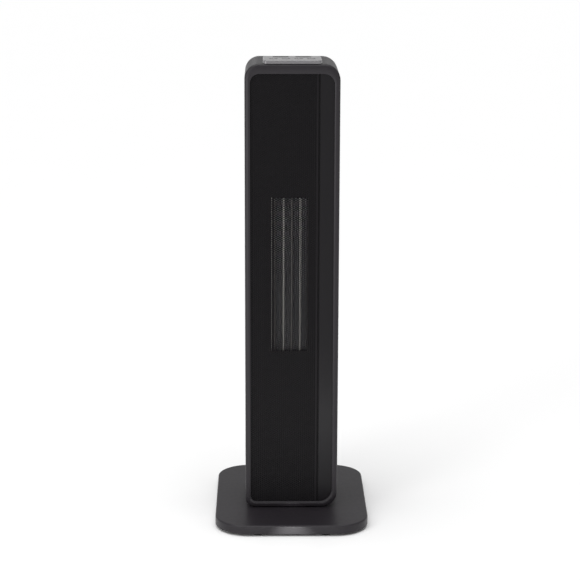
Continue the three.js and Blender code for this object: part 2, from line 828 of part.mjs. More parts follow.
function thermalCutout() {
  const [width, depth, thick] = cutoutBracket;
  const bracket = block(-width / 2, width / 2, -depth / 2, depth / 2, 0, thick);
  const tabs = [-1, 1].map((side) =>
    rod(cutoutTabRadius, cutoutHeight - 1, cutoutTabTop, 8).translate((side * cutoutTabSpacing) / 2, 0, 0));
  return join(rod(cutoutRadius, 0, cutoutHeight, 20), bracket, ...tabs);
}

function buildHeater(tower) {
  for (let bar = 0; bar < barCount; bar++) {
    const x = (bar - (barCount - 1) / 2) * barPitch;
    piece(tower, "ptc_bar_" + (bar + 1), heaterBar(), ceramic, x, 0, elementBottom);
    if (bar < barCount - 1) {
      piece(tower, "fin_pack_" + (bar + 1), finPack(), aluminium, x + barPitch / 2, 0, elementBottom);
    }
  }
  piece(tower, "heater_end_bottom", heaterEnd(), innerPlastic, 0, 0, housingBottom);
  piece(tower, "heater_end_top", heaterEnd(), innerPlastic, 0, 0, elementTop + gap);
  piece(tower, "heater_duct", heaterDuct(), steel);
  piece(tower, "thermal_cutout", thermalCutout(), steel, 0, (elementFront + elementBack) / 2,
    housingTop + 2 * gap + ductWall);
}

// ---------- fan ----------
// One curved blade of the wheel, leaning forwards at radius fanRadius.
function blade(turn) {
  const outer = fanRadius - bladeInset;
  const points = [];
  for (const [side, inward] of [[0, true], [bladeThick, false]]) {
    for (let i = 0; i <= bladeSteps; i++) {
      const along = (inward ? i : bladeSteps - i) / bladeSteps;
      const radius = outer - bladeChord * along;
      const bulge = bladeChord * bladeCamber * along * (1 - along);
      const angle = turn + (bulge + side) / radius + along * bladeLean;
      points.push(new THREE.Vector2(radius * Math.cos(angle), radius * Math.sin(angle)));
    }
  }
  return new THREE.Shape(points);
}

function fanWheel() {
  const bottom = housingBottom + housingWall + 2 * gap + fanClearance;
  const top = housingTop - housingWall - 2 * gap - fanClearance;
  const middle = (bottom + top) / 2;
  const hub = shaftRadius + gap;
  const rim = fanRadius - bladeChord - discRim;
  const discs = [
    ring(hub, fanRadius, bottom, bottom + discThick, 36),
    ring(hub, fanRadius, top - discThick, top, 36),
    ring(rim, fanRadius, middle - discThick / 2, middle + discThick / 2, 36),
  ];
  const blades = Array.from({ length: fanBlades }, (_, i) =>
    raised(blade((i * 2 * Math.PI) / fanBlades), bottom + discThick / 2, top - discThick / 2));
  return join(...discs, ...blades);
}

// Scroll wall on the left, cut-off tongue on the right, joined by an end plate above and below.
function fanHousing() {
  const near = fanRadius + fanClearance;
  const half = elementWidth / 2;
  const flat = -near - housingWall;
  const t = housingWall;
  const scroll = new THREE.Shape();
  scroll.moveTo(-half - t, flat);
  scroll.lineTo(-half, flat);
  scroll.lineTo(-near, -near * scrollKnee);
  scroll.absarc(0, 0, near + scrollGrowth, scrollStart, scrollEnd, true);
  scroll.absarc(0, 0, near + t + scrollGrowth, scrollEnd, scrollStart, false);
  const tongue = new THREE.Shape();
  tongue.moveTo(half, flat);
  tongue.lineTo(half + t, flat);
  tongue.lineTo(near + t, -near * tongueKnee);
  tongue.lineTo(near + t + tongueFlare, near * tongueTip);
  tongue.lineTo(near + tongueFlare, near * tongueTip);
  tongue.lineTo(near, -near * tongueInnerKnee);
  const plate = centred(2 * (near + t + housingMargin), 2 * (near + t), housingCorner);
  const low = housingBottom;
  const high = housingTop;
  const parts = [
    raised(scroll, low, high),
    raised(tongue, low, high),
    raised(plate, low, low + t),
    raised(plate, high - t, high),
  ];
  return cut(join(...parts), rod(bushRadius + gap, low - past, low + t + past, 24),
    rod(shaftRadius + 2 * gap, high - past, high + past, 16));
}

function fanBush() {
  return turned([
    [shaftRadius + gap, housingBottom - bushBelow],
    [bushRadius, housingBottom - bushBelow],
    [bushRadius, housingBottom + housingWall + gap],
    [shaftRadius + gap, housingBottom + housingWall + gap],
  ], 24);
}

function fanMotor() {
  const bottom = housingTop + gap;
  const top = bottom + motorHeight;
  const can = rod(fanRadius * motorShare, bottom, top, 28);
  const cap = rod(fanRadius * motorCapShare, top - 1, top + motorCapHeight, 20);
  return cut(join(can, cap), rod(shaftRadius + gap, bottom - past, top - motorCapHeight, 16));
}

function fanShaft() {
  return rod(shaftRadius, housingBottom - shaftBelow, housingTop + motorHeight - shaftEnd, 16);
}

function buildFan(tower) {
  const fan = new THREE.Group();
  fan.position.set(0, fanY, 0);
  tower.add(fan);
  piece(fan, "fan_housing", fanHousing(), innerPlastic);
  piece(fan, "fan_wheel", fanWheel(), aluminium);
  piece(fan, "fan_shaft", fanShaft(), steel);
  piece(fan, "fan_bush", fanBush(), nylon);
  piece(fan, "fan_motor", fanMotor(), copperMotor);
}

// ---------- oscillation drive, tilt switch and electrics ----------
function pinion() {
  const shape = gearShape(pinionTeeth, Math.PI / pinionTeeth);
  return join(raised(shape, gearBottom + pinionEase, gearTop - pinionEase),
    rod(pinionShaftRadius, gearTop - 1, gearTop + pinionShaftRise, 12));
}

function oscMotor() {
  const radius = innerHalf + pinionX - oscMotorMargin;
  const bottom = gearTop + oscMotorRise;
  const can = rod(radius, bottom, bottom + oscMotorHeight, 28);
  const legs = [-1, 1].map((side) =>
    rod(oscMotorLegRadius, wall + gap, bottom + 2, 12).translate(0, side * (radius + 1), 0));
  const bore = rod(pinionShaftRadius + gap, bottom - past, gearTop + pinionShaftRise + gap, 16);
  return cut(join(can, ...legs), bore);
}

function powerBoard() {
  const top = housingBottom - powerBoardBelowFan;
  const y = backY - wall - powerBoardInset;
  const bottom = oscMotorHeight + boardAboveMotor;
  const low = bottom + partRise;
  return join(
    block(-boardHalfWidth, boardHalfWidth, y, y + boardThick, bottom, top),
    ...relaySpots.map((x) => component(relay, x, y, low)),
    component(terminal, terminalX, y, low),
    component(capacitor, capacitorX, y, low + capacitorRise),
  );
}

// Two cheeks on a foot, with a small switch block above the pin.
function tiltBracket() {
  const half = tiltWidth / 2;
  const depth = tiltDepth / 2;
  const cheeks = [-half, half - tiltCheek].map((x) =>
    block(x, x + tiltCheek, -depth, depth, 0, tiltHeight - tiltSwitchHeight / 2));
  const floor = block(-half, half, -tiltFoot / 2, tiltFoot / 2, 0, tiltCheek);
  const top = block(-half, half, -depth, depth, tiltHeight - tiltSwitchHeight, tiltHeight);
  const hole = rodX(tiltPinRadius + gap, 2 * tiltWidth).translate(0, 0, tiltPinHeight);
  return cut(join(floor, ...cheeks, top), hole);
}

function tiltWeight() {
  const arm = block(-tiltArmThick / 2, tiltArmThick / 2, -tiltArmDepth / 2, tiltArmDepth / 2, -tiltArm, 0);
  const bob = rodX(tiltBobRadius, tiltBobWidth, 16).translate(0, 0, -tiltArm);
  return join(rodX(tiltPinRadius, tiltPinLength), arm, bob);
}

function rockerFrame() {
  const halfX = rockerWidth / 2 - gap;
  const halfZ = rockerHeight / 2 - gap;
  const sleeve = block(-halfX, halfX, -rockerDepth, 2 * sink, -halfZ, halfZ);
  const flange = block(-halfX - rockerFlange, halfX + rockerFlange, 0, rockerFlangeThick,
    -halfZ - rockerFlange, halfZ + rockerFlange);
  const hollow = block(-halfX + rockerWall, halfX - rockerWall, 1 - rockerDepth, past,
    -halfZ + rockerWall, halfZ - rockerWall);
  return cut(join(sleeve, flange), hollow);
}

// Local frame: the pivot is at the origin and the outer face looks along +Y.
function rocker() {
  const halfX = rockerWidth / 2 - rockerWall - 2 * gap;
  const halfZ = rockerHeight / 2 - rockerWall - 3 * gap;
  const side = new THREE.Shape(rockerProfile.map(([depth, inset, end]) =>
    new THREE.Vector2(depth, end * (halfZ - inset))));
  return raised(side, -halfX, halfX).rotateY(Math.PI / 2).rotateX(Math.PI / 2).rotateY(Math.PI);
}

function cordGland() {
  return turned([
    [glandBore, -glandDepth],
    [glandRadius - glandNeck, -glandDepth],
    [glandRadius - glandNeck, gap],
    [glandRadius, gap],
    [glandRadius - glandTaper, glandProud],
    [glandBore + glandMouth, glandProud],
    [glandBore, glandProud - glandMouthDepth],
  ], 24).rotateX(-Math.PI / 2);
}

function buildDrive(tower) {
  piece(tower, "osc_pinion", pinion(), nylon, pinionX, 0, 0);
  piece(tower, "osc_motor", oscMotor(), copperMotor, pinionX, 0, 0);
  piece(tower, "power_board", powerBoard(), boardGreen);
  piece(tower, "tilt_bracket", tiltBracket(), innerPlastic, tiltX, tiltY, wall + gap);
  piece(tower, "tilt_weight", tiltWeight(), steel, tiltX, tiltY, wall + gap + tiltPinHeight);
}

function buildBack(tower) {
  piece(tower, "filter_door", filterDoor(), shellPlastic);
  piece(tower, "filter_screen", filterScreen(), filterMesh);
  piece(tower, "handle_cup", handleCup(), innerPlastic);
  piece(tower, "rocker_frame", rockerFrame(), innerPlastic, fittingX, backY + gap, fittingHeight);
  piece(tower, "rocker_switch", rocker(), lensGloss, fittingX, backY - rockerPivotDepth, fittingHeight);
  piece(tower, "cord_gland", cordGland(), rubber, -fittingX, backY, fittingHeight);
  [-1, 1].forEach((side, i) =>
    piece(tower, "rear_screw_" + (i + 1), rearScrew(), steel, side * rearScrewX, backY, rearScrewZ));
}

function buildTower() {
  const tower = new THREE.Group();
  tower.position.set(0, 0, baseTop + towerLift);
  piece(tower, "body_shell", bodyShell(), shellPlastic);
  piece(tower, "front_bezel", frontBezel(), shellPlastic);
  piece(tower, "front_grille", frontGrille(), grilleMetal);
  piece(tower, "side_strip", sideStrip(), stripPlastic);
  piece(tower, "air_baffle", airBaffle(), innerPlastic);
  piece(tower, "rear_cover", rearCover(), shellPlastic);
  buildControls(tower);
  buildHeater(tower);
  buildFan(tower);
  buildDrive(tower);
  buildBack(tower);
  return tower;
}

const heater = new THREE.Group();
heater.add(buildBase(), buildTower());
export default heater;
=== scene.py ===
import json
import math
from collections import namedtuple

import bpy
import numpy as np
from bpy.props import FloatProperty, FloatVectorProperty, PointerProperty
from bpy.types import Operator, Panel, PropertyGroup
from mathutils import Matrix, Vector


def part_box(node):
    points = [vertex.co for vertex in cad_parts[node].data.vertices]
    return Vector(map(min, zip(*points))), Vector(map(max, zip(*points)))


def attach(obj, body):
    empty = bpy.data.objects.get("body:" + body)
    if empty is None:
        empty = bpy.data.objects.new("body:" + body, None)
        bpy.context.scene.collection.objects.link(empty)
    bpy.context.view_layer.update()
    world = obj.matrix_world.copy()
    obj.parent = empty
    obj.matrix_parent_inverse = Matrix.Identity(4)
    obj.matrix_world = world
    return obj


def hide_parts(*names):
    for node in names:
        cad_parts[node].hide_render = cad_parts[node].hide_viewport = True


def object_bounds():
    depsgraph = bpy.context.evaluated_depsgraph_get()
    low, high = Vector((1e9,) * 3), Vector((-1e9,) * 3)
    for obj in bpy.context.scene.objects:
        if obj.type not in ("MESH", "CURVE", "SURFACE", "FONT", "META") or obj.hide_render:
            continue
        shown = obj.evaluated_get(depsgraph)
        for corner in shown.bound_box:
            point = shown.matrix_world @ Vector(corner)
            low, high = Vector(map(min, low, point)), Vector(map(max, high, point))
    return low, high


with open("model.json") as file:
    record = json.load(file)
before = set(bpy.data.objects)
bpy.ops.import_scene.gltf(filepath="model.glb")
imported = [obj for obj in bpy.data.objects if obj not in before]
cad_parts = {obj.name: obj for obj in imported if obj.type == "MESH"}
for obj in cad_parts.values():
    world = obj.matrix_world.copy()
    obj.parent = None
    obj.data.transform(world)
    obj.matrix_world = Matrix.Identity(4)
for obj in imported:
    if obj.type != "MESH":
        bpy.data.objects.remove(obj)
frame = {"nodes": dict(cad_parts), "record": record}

bl_info = {
    "name": "Tower Heater",
    "version": (1, 0, 0),
    "blender": (4, 5, 0),
    "location": "3D View > Sidebar > Heater",
    "description": "Builds the visible shells, grille, controls and finishes of a tower heater",
    "category": "Add Mesh",
}

CAD_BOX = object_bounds()
MM = 0.001
GAP = 0.3 * MM  # free space between touching pieces
SEAM_EDGE = 0.3 * MM  # rounding where two shells of the tower meet
RIM_FLAT = 0.3 * MM  # flat band between a rounded rim and the cap inside it
LEAST_RADIUS = 0.05 * MM  # what a corner keeps when an outline is drawn in
FLANGE_EDGE = 0.4 * MM  # rounding of a cup's flange
DOOR_CORNER = 6 * MM  # corner radius of the filter door and its opening
ARC_POINTS = 14  # points on each corner of an outline
SIDE_POINTS = 3  # points along each straight side
EDGE_STEPS = 6  # rings round each rounded rim
CREASE = math.radians(32)  # faces that meet at more than this keep a sharp line
CUT_ANGLE = math.radians(50)  # edges sharper than this are rounded after a cut


def span(node):
    """Lowest and highest corner of a CAD node as two arrays."""
    low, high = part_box(node)
    return np.array(low), np.array(high)


def middle_of(node):
    """The middle of a CAD node's box."""
    low, high = span(node)
    return (low + high) / 2


TOWER_LOW, TOWER_HIGH = span("front_bezel")
COVER_LOW, COVER_HIGH = span("rear_cover")
FRONT, BEZEL_BACK = TOWER_LOW[1], TOWER_HIGH[1]
SEAM, BACK = COVER_LOW[1], COVER_HIGH[1]


def linear(hex_code):
    """An sRGB hex colour as the three linear values that a shader takes."""
    value = np.array([int(hex_code[i:i + 2], 16) for i in (0, 2, 4)]) / 255
    return tuple(np.where(value <= 0.04045, value / 12.92, ((value + 0.055) / 1.055) ** 2.4).tolist())


def length(name, millimetres, description):
    """A size that shows in Blender's length units."""
    return FloatProperty(name=name, description=description, default=millimetres * MM, min=0.0,
                         subtype="DISTANCE", unit="LENGTH")


def colour(name, hex_code, description):
    """A base colour with its own swatch."""
    return FloatVectorProperty(name=name, description=description, default=linear(hex_code),
                               min=0.0, max=1.0, size=3, subtype="COLOR")


class HeaterSizes(PropertyGroup):
    """Sizes that the frame's boxes don't hold"""
    corner_top_left: length("Top left corner", 18, "Radius of the tower's top left corner")
    corner_top_right: length("Top right corner", 20, "Radius of the tower's top right corner")
    corner_bottom_right: length("Bottom right corner", 20, "Radius of the tower's bottom right corner")
    corner_bottom_left: length("Bottom left corner", 11, "Radius of the tower's bottom left corner")
    front_edge: length("Front edge", 3, "Rounding round the front face")
    back_edge: length("Back edge", 8, "Rounding round the back face")
    wall: length("Wall", 2.5, "Thickness of the moulded shells")
    ring_side: length("Frame side", 7, "Width of the front frame beside the grille")
    ring_top: length("Frame top", 12, "Width of the front frame above the grille")
    ring_bottom: length("Frame bottom", 7.4, "Width of the front frame under the grille")
    ring_lip: length("Frame lip", 2.8, "Thickness of the front frame in front of the grille")
    ring_crown: length("Frame crown", 0.5, "How far the middle of the frame stands before its rims")
    inner_edge: length("Frame inner edge", 0.7, "Rounding of the frame's inner rim")
    base_corner: length("Base corner", 42, "Corner radius of the base")
    base_edge: length("Base edge", 2, "Rounding of the base's upper rim")
    post_radius: length("Post radius", 16, "Outside radius of the pivot post")
    strip_groove: length("Strip groove", 1.5, "Dark channel between the grille and the smooth strip")
    hole_pitch: length("Hole pitch", 2.8, "Middle to middle of two holes in the grille")
    hole_width: length("Hole width", 2.0, "Width of a hole across its flats")
    sheet_thick: length("Grille sheet", 0.8, "Thickness of the perforated sheet")
    fin_pitch: length("Fin pitch", 2.4, "Height of one full fold of the heating fins")
    louvre_pitch: length("Louvre pitch", 5.57, "Middle to middle of two louvres in the filter door")


class HeaterColours(PropertyGroup):
    """Base colours of the finishes"""
    shell: colour("Housing", "262327", "Charcoal ABS of the housing and base")
    inner: colour("Inner mouldings", "0d0c0e", "Black plastic inside the housing")
    grille: colour("Grille", "100d11", "Powder coat of the perforated sheet")
    strip: colour("Strip", "131114", "Smooth black strip beside the grille")
    panel: colour("Control panel", "6f6d70", "Pearl grey lacquer of the control panel")
    lens: colour("Windows", "0a0a0c", "Smoked acrylic windows and the rocker")
    mark: colour("Button marks", "d8d8d8", "Printed marks on the buttons")
    rubber: colour("Rubber", "121212", "Feet and cord gland")
    steel: colour("Steel", "b4b3b0", "Zinc plated screws, shaft and plates")
    # Two copies of one jacket colour: the second and fourth bars take a light copy that paints their
    # highlight, the other bars a darker copy that paints shade.
    ceramic: colour("Heating bars", "f0eee8", "Bright jackets of the second and fourth heating bar")
    tinned: colour("Dull heating bars", "8c8a86", "Heat-dulled jackets of the other heating bars")
    aluminium: colour("Fins", "b9babd", "Rolled aluminium fins and fan wheel")
    nylon: colour("Nylon", "d6d2c6", "Gears, bushes and the slide ring")
    laminate: colour("Circuit boards", "1c4a33", "Solder mask of the circuit boards")
    motor: colour("Motor cans", "6c6e72", "Plated motor cans")
    mesh: colour("Dust screen", "2a2a2c", "Woven dust screen")
    floor: colour("Floor", "f9f9f9", "Pale floor of the stage")


def sizes():
    """The scene's own sizes."""
    return bpy.context.scene.heater_sizes


def colours():
    """The scene's own colours."""
    return bpy.context.scene.heater_colours


# ---------- surfaces ----------
def outline(left, right, bottom, top, radii, inset=0.0):
    """A rounded rectangle as points that run anticlockwise: at each corner a quarter circle of its radius,
    then evenly spaced points to the next corner, so that any two outlines match point by point.
    Radii run top left, top right, bottom right, bottom left; inset draws the whole outline in."""
    top_left, top_right, bottom_right, bottom_left = [max(r - inset, LEAST_RADIUS) for r in radii]
    left, right, bottom, top = left + inset, right - inset, bottom + inset, top - inset
    centres = np.array([
        [right - bottom_right, bottom + bottom_right],
        [right - top_right, top - top_right],
        [left + top_left, top - top_left],
        [left + bottom_left, bottom + bottom_left],
    ])
    radius = np.array([bottom_right, top_right, top_left, bottom_left])[:, None, None]
    angle = (np.arange(4) - 1)[:, None] * np.pi / 2 + np.linspace(0, np.pi / 2, ARC_POINTS)
    arcs = centres[:, None] + radius * np.stack([np.cos(angle), np.sin(angle)], -1)
    start, end = arcs[:, -1:], np.roll(arcs[:, 0], -1, axis=0)[:, None]
    share = (np.arange(1, SIDE_POINTS + 1) / (SIDE_POINTS + 1))[None, :, None]
    return np.concatenate([arcs, start + (end - start) * share], axis=1).reshape(-1, 2)


def standing(points, y):
    """An outline of X and Z values, set upright at depth y."""
    return np.column_stack([points[:, 0], np.full(len(points), y), points[:, 1]])


def lying(points, z):
    """An outline of X and Y values, laid flat at height z."""
    return np.column_stack([points, np.full(len(points), z)])


def upright_rectangle(left, right, bottom, top, *radii):
    """A function of depth and inset that gives an upright rounded rectangle."""
    corners = radii if len(radii) == 4 else radii * 4
    return lambda y, inset=0.0: standing(outline(left, right, bottom, top, corners, inset), y)


def flat_rectangle(left, right, front, back, radius):
    """A function of height and inset that gives a rounded rectangle lying flat."""
    return lambda z, inset=0.0: lying(outline(left, right, front, back, (radius,) * 4, inset), z)


def upright_box(node, margin, radius):
    """The same for the box of a node, drawn in by a margin."""
    low, high = span(node)
    return upright_rectangle(low[0] + margin, high[0] - margin, low[2] + margin, high[2] - margin, radius)


def flat_box(node, margin, radius):
    """A function of height and inset for the box of a node, drawn in by a margin."""
    low, high = span(node)
    return flat_rectangle(low[0] + margin, high[0] - margin, low[1] + margin, high[1] - margin, radius)


def loft(rings, caps=False, tube=False):
    """Quads between neighbouring closed rings of equal length. Caps close the first and the last ring
    with one face each; tube joins the last ring to the first."""
    rings = np.array(rings)
    rows, count = rings.shape[:2]
    row = np.arange(rows if tube else rows - 1)[:, None]
    column = np.arange(count)[None, :]
    here, after = row * count, (row + 1) % rows * count
    right = (column + 1) % count
    faces = np.stack([here + column, here + right, after + right, after + column], -1).reshape(-1, 4).tolist()
    if caps:
        faces += [list(range(count))[::-1], list(range((rows - 1) * count, rows * count))]
    return rings.reshape(-1, 3), faces


def round_off(ring_at, level, edge, way, inset=0.0):
    """Rings that turn from a side into the face at level: the height follows the sine and the inset the
    cosine of a quarter turn. Way is 1 where the piece lies below the level and -1 where it lies above."""
    turn = np.linspace(0, np.pi / 2, EDGE_STEPS)
    return [ring_at(level - way * edge * (1 - np.sin(a)), inset + edge * (1 - np.cos(a))) for a in turn]


def roll_over(ring_at, level, edge, way, inset=0.0):
    """Rings that turn from the face at level into the wall of an opening: sine and cosine change places."""
    turn = np.linspace(0, np.pi / 2, EDGE_STEPS)
    return [ring_at(level - way * edge * (1 - np.cos(a)), inset - edge * (1 - np.sin(a))) for a in turn]


def rim(ring_at, level, edge, way, inset=0.0):
    """The rings of a rounded rim and one more inside it, which a cap can close."""
    if not edge:
        return [ring_at(level)]
    return round_off(ring_at, level, edge, way, inset) + [ring_at(level, inset + edge + RIM_FLAT)]


def slab(ring_at, low, high, low_edge=0.0, high_edge=0.0):
    """A closed plate between two levels, each rim a quarter circle of its own radius."""
    return loft(rim(ring_at, low, low_edge, -1)[::-1] + rim(ring_at, high, high_edge, 1), caps=True)


def tray(ring_at, flange_at, bottom, under, face, wall, edge):
    """A closed cup with a flange: outside up to the flange, round its rim, over the face and down inside."""
    outside = rim(ring_at, bottom, edge, -1)[::-1] + [ring_at(under)]
    flange = [flange_at(under)] + round_off(flange_at, face, FLANGE_EDGE, 1)
    inside = roll_over(ring_at, face, edge, 1, wall) + rim(ring_at, bottom + wall, edge, -1, wall)
    return loft(outside + flange + inside, caps=True)


def turned(profile, centre, axis="Z", steps=40, tube=False):
    """A solid of revolution: each radius and height in mm of the profile becomes a circle about the axis."""
    angle = np.linspace(0, 2 * np.pi, steps, endpoint=False)
    radius, height = np.array(profile).T[:, :, None] * MM
    across, over = radius * np.cos(angle), radius * np.sin(angle)
    level = np.broadcast_to(height, across.shape)
    rings = np.stack([across, over, level] if axis == "Z" else [across, level, over], -1)
    return loft(rings + np.array(centre), caps=not tube, tube=tube)


def thicken(points, faces, front, back):
    """A flat sheet of X and Z points given depth: its faces at the front, the same faces turned over at the
    back, and a wall on every edge that only one face uses."""
    count = len(points)
    vertices = np.concatenate([standing(points, front), standing(points, back)])
    edges = np.concatenate([
        np.stack([group, np.roll(group, -1, axis=1)], -1).reshape(-1, 2) for group in faces
    ])
    key, mirrored = edges[:, 0] * count + edges[:, 1], edges[:, 1] * count + edges[:, 0]
    border = edges[~np.isin(key, mirrored)]
    walls = np.column_stack([border[:, 1], border[:, 0], border[:, 0] + count, border[:, 1] + count])
    everything = [*faces, *(group[:, ::-1] + count for group in faces), walls]
    return vertices, [face for group in everything for face in group.tolist()]


def outward(vertices, faces):
    """The same closed shell with its faces turned so that the volume they enclose is positive."""
    volume = 0.0
    for corners in set(map(len, faces)):
        group = vertices[np.array([face for face in faces if len(face) == corners])]
        volume += (group[:, :1] * np.cross(group[:, 1:-1], group[:, 2:])).sum()
    return vertices, faces if volume > 0 else [face[::-1] for face in faces]


# ---------- objects ----------
def mesh_of(name, shells, finishes):
    """One mesh from closed shells; finishes holds a material for each shell, or one for all."""
    vertices, faces, index = [], [], []
    start = 0
    materials = list(dict.fromkeys(finishes))
    for number, shell in enumerate(shells):
        points, polygons = outward(*shell)
        vertices.append(points)
        faces += [[corner + start for corner in polygon] for polygon in polygons]
        index += [materials.index(finishes[min(number, len(finishes) - 1)])] * len(polygons)
        start += len(points)
    mesh = bpy.data.meshes.new(name)
    mesh.from_pydata(np.concatenate(vertices).tolist(), [], faces)
    for material in materials:
        mesh.materials.append(material)
    mesh.polygons.foreach_set("material_index", index)
    return mesh


def shade(piece):
    """Smooths the faces and keeps a sharp line where they meet at more than the crease angle."""
    mesh = piece.data
    mesh.polygons.foreach_set("use_smooth", np.ones(len(mesh.polygons), bool))
    mesh.set_sharp_from_angle(angle=CREASE)
    mesh.update()


def settle(piece):
    """Replaces the piece's mesh with what its modifiers make of it."""
    graph = bpy.context.evaluated_depsgraph_get()
    mesh = bpy.data.meshes.new_from_object(piece.evaluated_get(graph))
    if not len(mesh.polygons):
        raise RuntimeError(piece.name + " vanished when it was cut")
    piece.modifiers.clear()
    piece.data = mesh


def carve(piece, *cutters):
    """Cuts closed shells out of a piece, one exact Boolean for each."""
    for number, shell in enumerate(cutters):
        mesh = mesh_of("cutter", [shell], [piece.data.materials[0]])
        tool = bpy.data.objects.new("cutter_%d" % number, mesh)
        bpy.context.collection.objects.link(tool)
        modifier = piece.modifiers.new("cut", "BOOLEAN")
        modifier.operation, modifier.solver, modifier.object = "DIFFERENCE", "EXACT", tool
        settle(piece)
        bpy.data.objects.remove(tool)


def soften(piece, width):
    """Rounds the edges that a cut left sharp, and shades the wide faces flat up to those edges."""
    bevel = piece.modifiers.new("bevel", "BEVEL")
    bevel.width, bevel.segments, bevel.limit_method = width, 2, "ANGLE"
    bevel.angle_limit = CUT_ANGLE
    settle(piece)
    shade(piece)
    piece.modifiers.new("weight", "WEIGHTED_NORMAL").keep_sharp = True
    settle(piece)


def build(name, shells, slot, body, nodes, cutters=(), edge=0.0, finishes=()):
    """A finished piece: its mesh, cuts and shading, the body it rides on, the CAD nodes it stands for and
    the record's material slot. Finishes names each shell's finish where it isn't the slot's own."""
    materials = [material_for(one) for one in finishes or [slot]]
    piece = bpy.data.objects.new(name, mesh_of(name, shells, materials))
    bpy.context.collection.objects.link(piece)
    carve(piece, *cutters)
    if edge:
        soften(piece, edge)
    else:
        shade(piece)
    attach(piece, body)
    if nodes:
        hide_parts(*nodes)
    return piece


# ---------- finishes ----------
def add(tree, kind, settings=(), links=()):
    """Adds a node, sets its properties and sockets by name or number, and links other sockets to it."""
    node = tree.nodes.new(kind)
    for key, value in dict(settings).items():
        if isinstance(key, str) and hasattr(node, key):
            setattr(node, key, value)
        else:
            node.inputs[key].default_value = value
    for key, source in dict(links).items():
        tree.links.new(source, node.inputs[key])
    return node


def place(tree):
    """The point's own coordinates in metres."""
    return add(tree, "ShaderNodeTexCoord").outputs["Object"]


def between(tree, factor, rgb, low, high):
    """A colour that runs from one multiple of rgb to another as the factor goes from 0 to 1."""
    dark, light = [[*(value * share for value in rgb), 1] for share in (low, high)]
    return add(tree, "ShaderNodeMix", {"data_type": "RGBA", 6: dark, 7: light}, {0: factor}).outputs[2]


def shades(tree, rgb, size, spread):
    """A colour that drifts between a darker and a lighter shade in patches of the given size."""
    drift = add(tree, "ShaderNodeTexNoise", {"Scale": 1 / size, "Detail": 3.0}, {"Vector": place(tree)})
    return between(tree, drift.outputs[0], rgb, 1 - spread, 1 + spread)


def uneven(tree, size, low, high):
    """A roughness that wanders between two values in patches of the given size."""
    patch = add(tree, "ShaderNodeTexNoise", {"Scale": 1 / size, "Detail": 4.0}, {"Vector": place(tree)})
    shine = add(tree, "ShaderNodeMapRange", {"To Min": low, "To Max": high}, {"Value": patch.outputs[0]})
    return shine.outputs[0]


def relief(tree, size, depth, strength):
    """A bump of grains of the given size and depth."""
    grain = add(tree, "ShaderNodeTexNoise", {"Scale": 1 / size, "Detail": 2.0}, {"Vector": place(tree)})
    height = {"Height": grain.outputs[0]}
    return add(tree, "ShaderNodeBump", {"Strength": strength, "Distance": depth}, height).outputs[0]


def mica_flakes(tree, rgb):
    """Flakes of 0.1 mm, drawn at 0.8 mm so that they show, each a little darker or lighter."""
    flakes = add(tree, "ShaderNodeTexVoronoi", {"Scale": 1 / (0.8 * MM)}, {"Vector": place(tree)})
    return between(tree, flakes.outputs["Color"], rgb, 0.9, 1.12)


def copper_tracks(tree, rgb):
    """Copper tracks 1.2 mm wide and 7 mm apart, which show through the solder mask as lighter lines."""
    settings = {"Scale": 1 / (7 * MM), "distance": "MANHATTAN", "feature": "F1"}
    cells = add(tree, "ShaderNodeTexVoronoi", settings, {"Vector": place(tree)})
    edges = {"From Min": 0.42, "From Max": 0.5}
    ramp = add(tree, "ShaderNodeMapRange", edges, {"Value": cells.outputs["Distance"]})
    return between(tree, ramp.outputs[0], rgb, 0.8, 1.7)


def woven_threads(tree):
    """Threads 0.5 mm apart, drawn 1.4 mm apart so that they show: the higher of two waves, one along X and
    one along Z. A wave of scale 1 repeats every 0.314 m."""
    point, scale = place(tree), 0.314 / (1.4 * MM)
    across, along = [
        add(tree, "ShaderNodeTexWave", {"bands_direction": axis, "Scale": scale}, {"Vector": point})
        for axis in ("X", "Z")
    ]
    higher = {0: across.outputs["Fac"], 1: along.outputs["Fac"]}
    return add(tree, "ShaderNodeMath", {"operation": "MAXIMUM"}, higher).outputs[0]


def threads_and_gap_shade(tree, rgb):
    """Lighter threads in the screen's own colour, with painted shade in the dark gaps between them."""
    return between(tree, woven_threads(tree), rgb, 0.25, 1.3)


def screen_relief(tree):
    """Threads that stand 0.2 mm above the gaps."""
    height = {"Height": woven_threads(tree)}
    return add(tree, "ShaderNodeBump", {"Strength": 0.8, "Distance": 0.2 * MM}, height).outputs[0]


def rolling_lines(tree):
    """Scratches 1 mm wide and 30 mm long that the rolls leave along Z."""
    stretch = {"Scale": (1 / MM, 1 / MM, 1 / (30 * MM))}
    lines = add(tree, "ShaderNodeMapping", stretch, {"Vector": place(tree)})
    scratches = add(tree, "ShaderNodeTexNoise", {"Scale": 1.0, "Detail": 3.0}, {"Vector": lines.outputs[0]})
    height = {"Height": scratches.outputs[0]}
    return add(tree, "ShaderNodeBump", {"Strength": 0.2, "Distance": 0.01 * MM}, height).outputs[0]


def plastic(level, ior=1.5):
    """The settings of a plastic, with how strongly it mirrors."""
    return {"IOR": ior, "Specular IOR Level": level}


# A material's name and base colour. Then, with sizes in millimetres: its colour patches (size, spread), its
# shine (patch size, lowest and highest roughness), its grain (size, depth, strength), and the shader's own
# settings. A function stands for a pattern of its own.
Finish = namedtuple("Finish", "name colour patches shine grain settings")

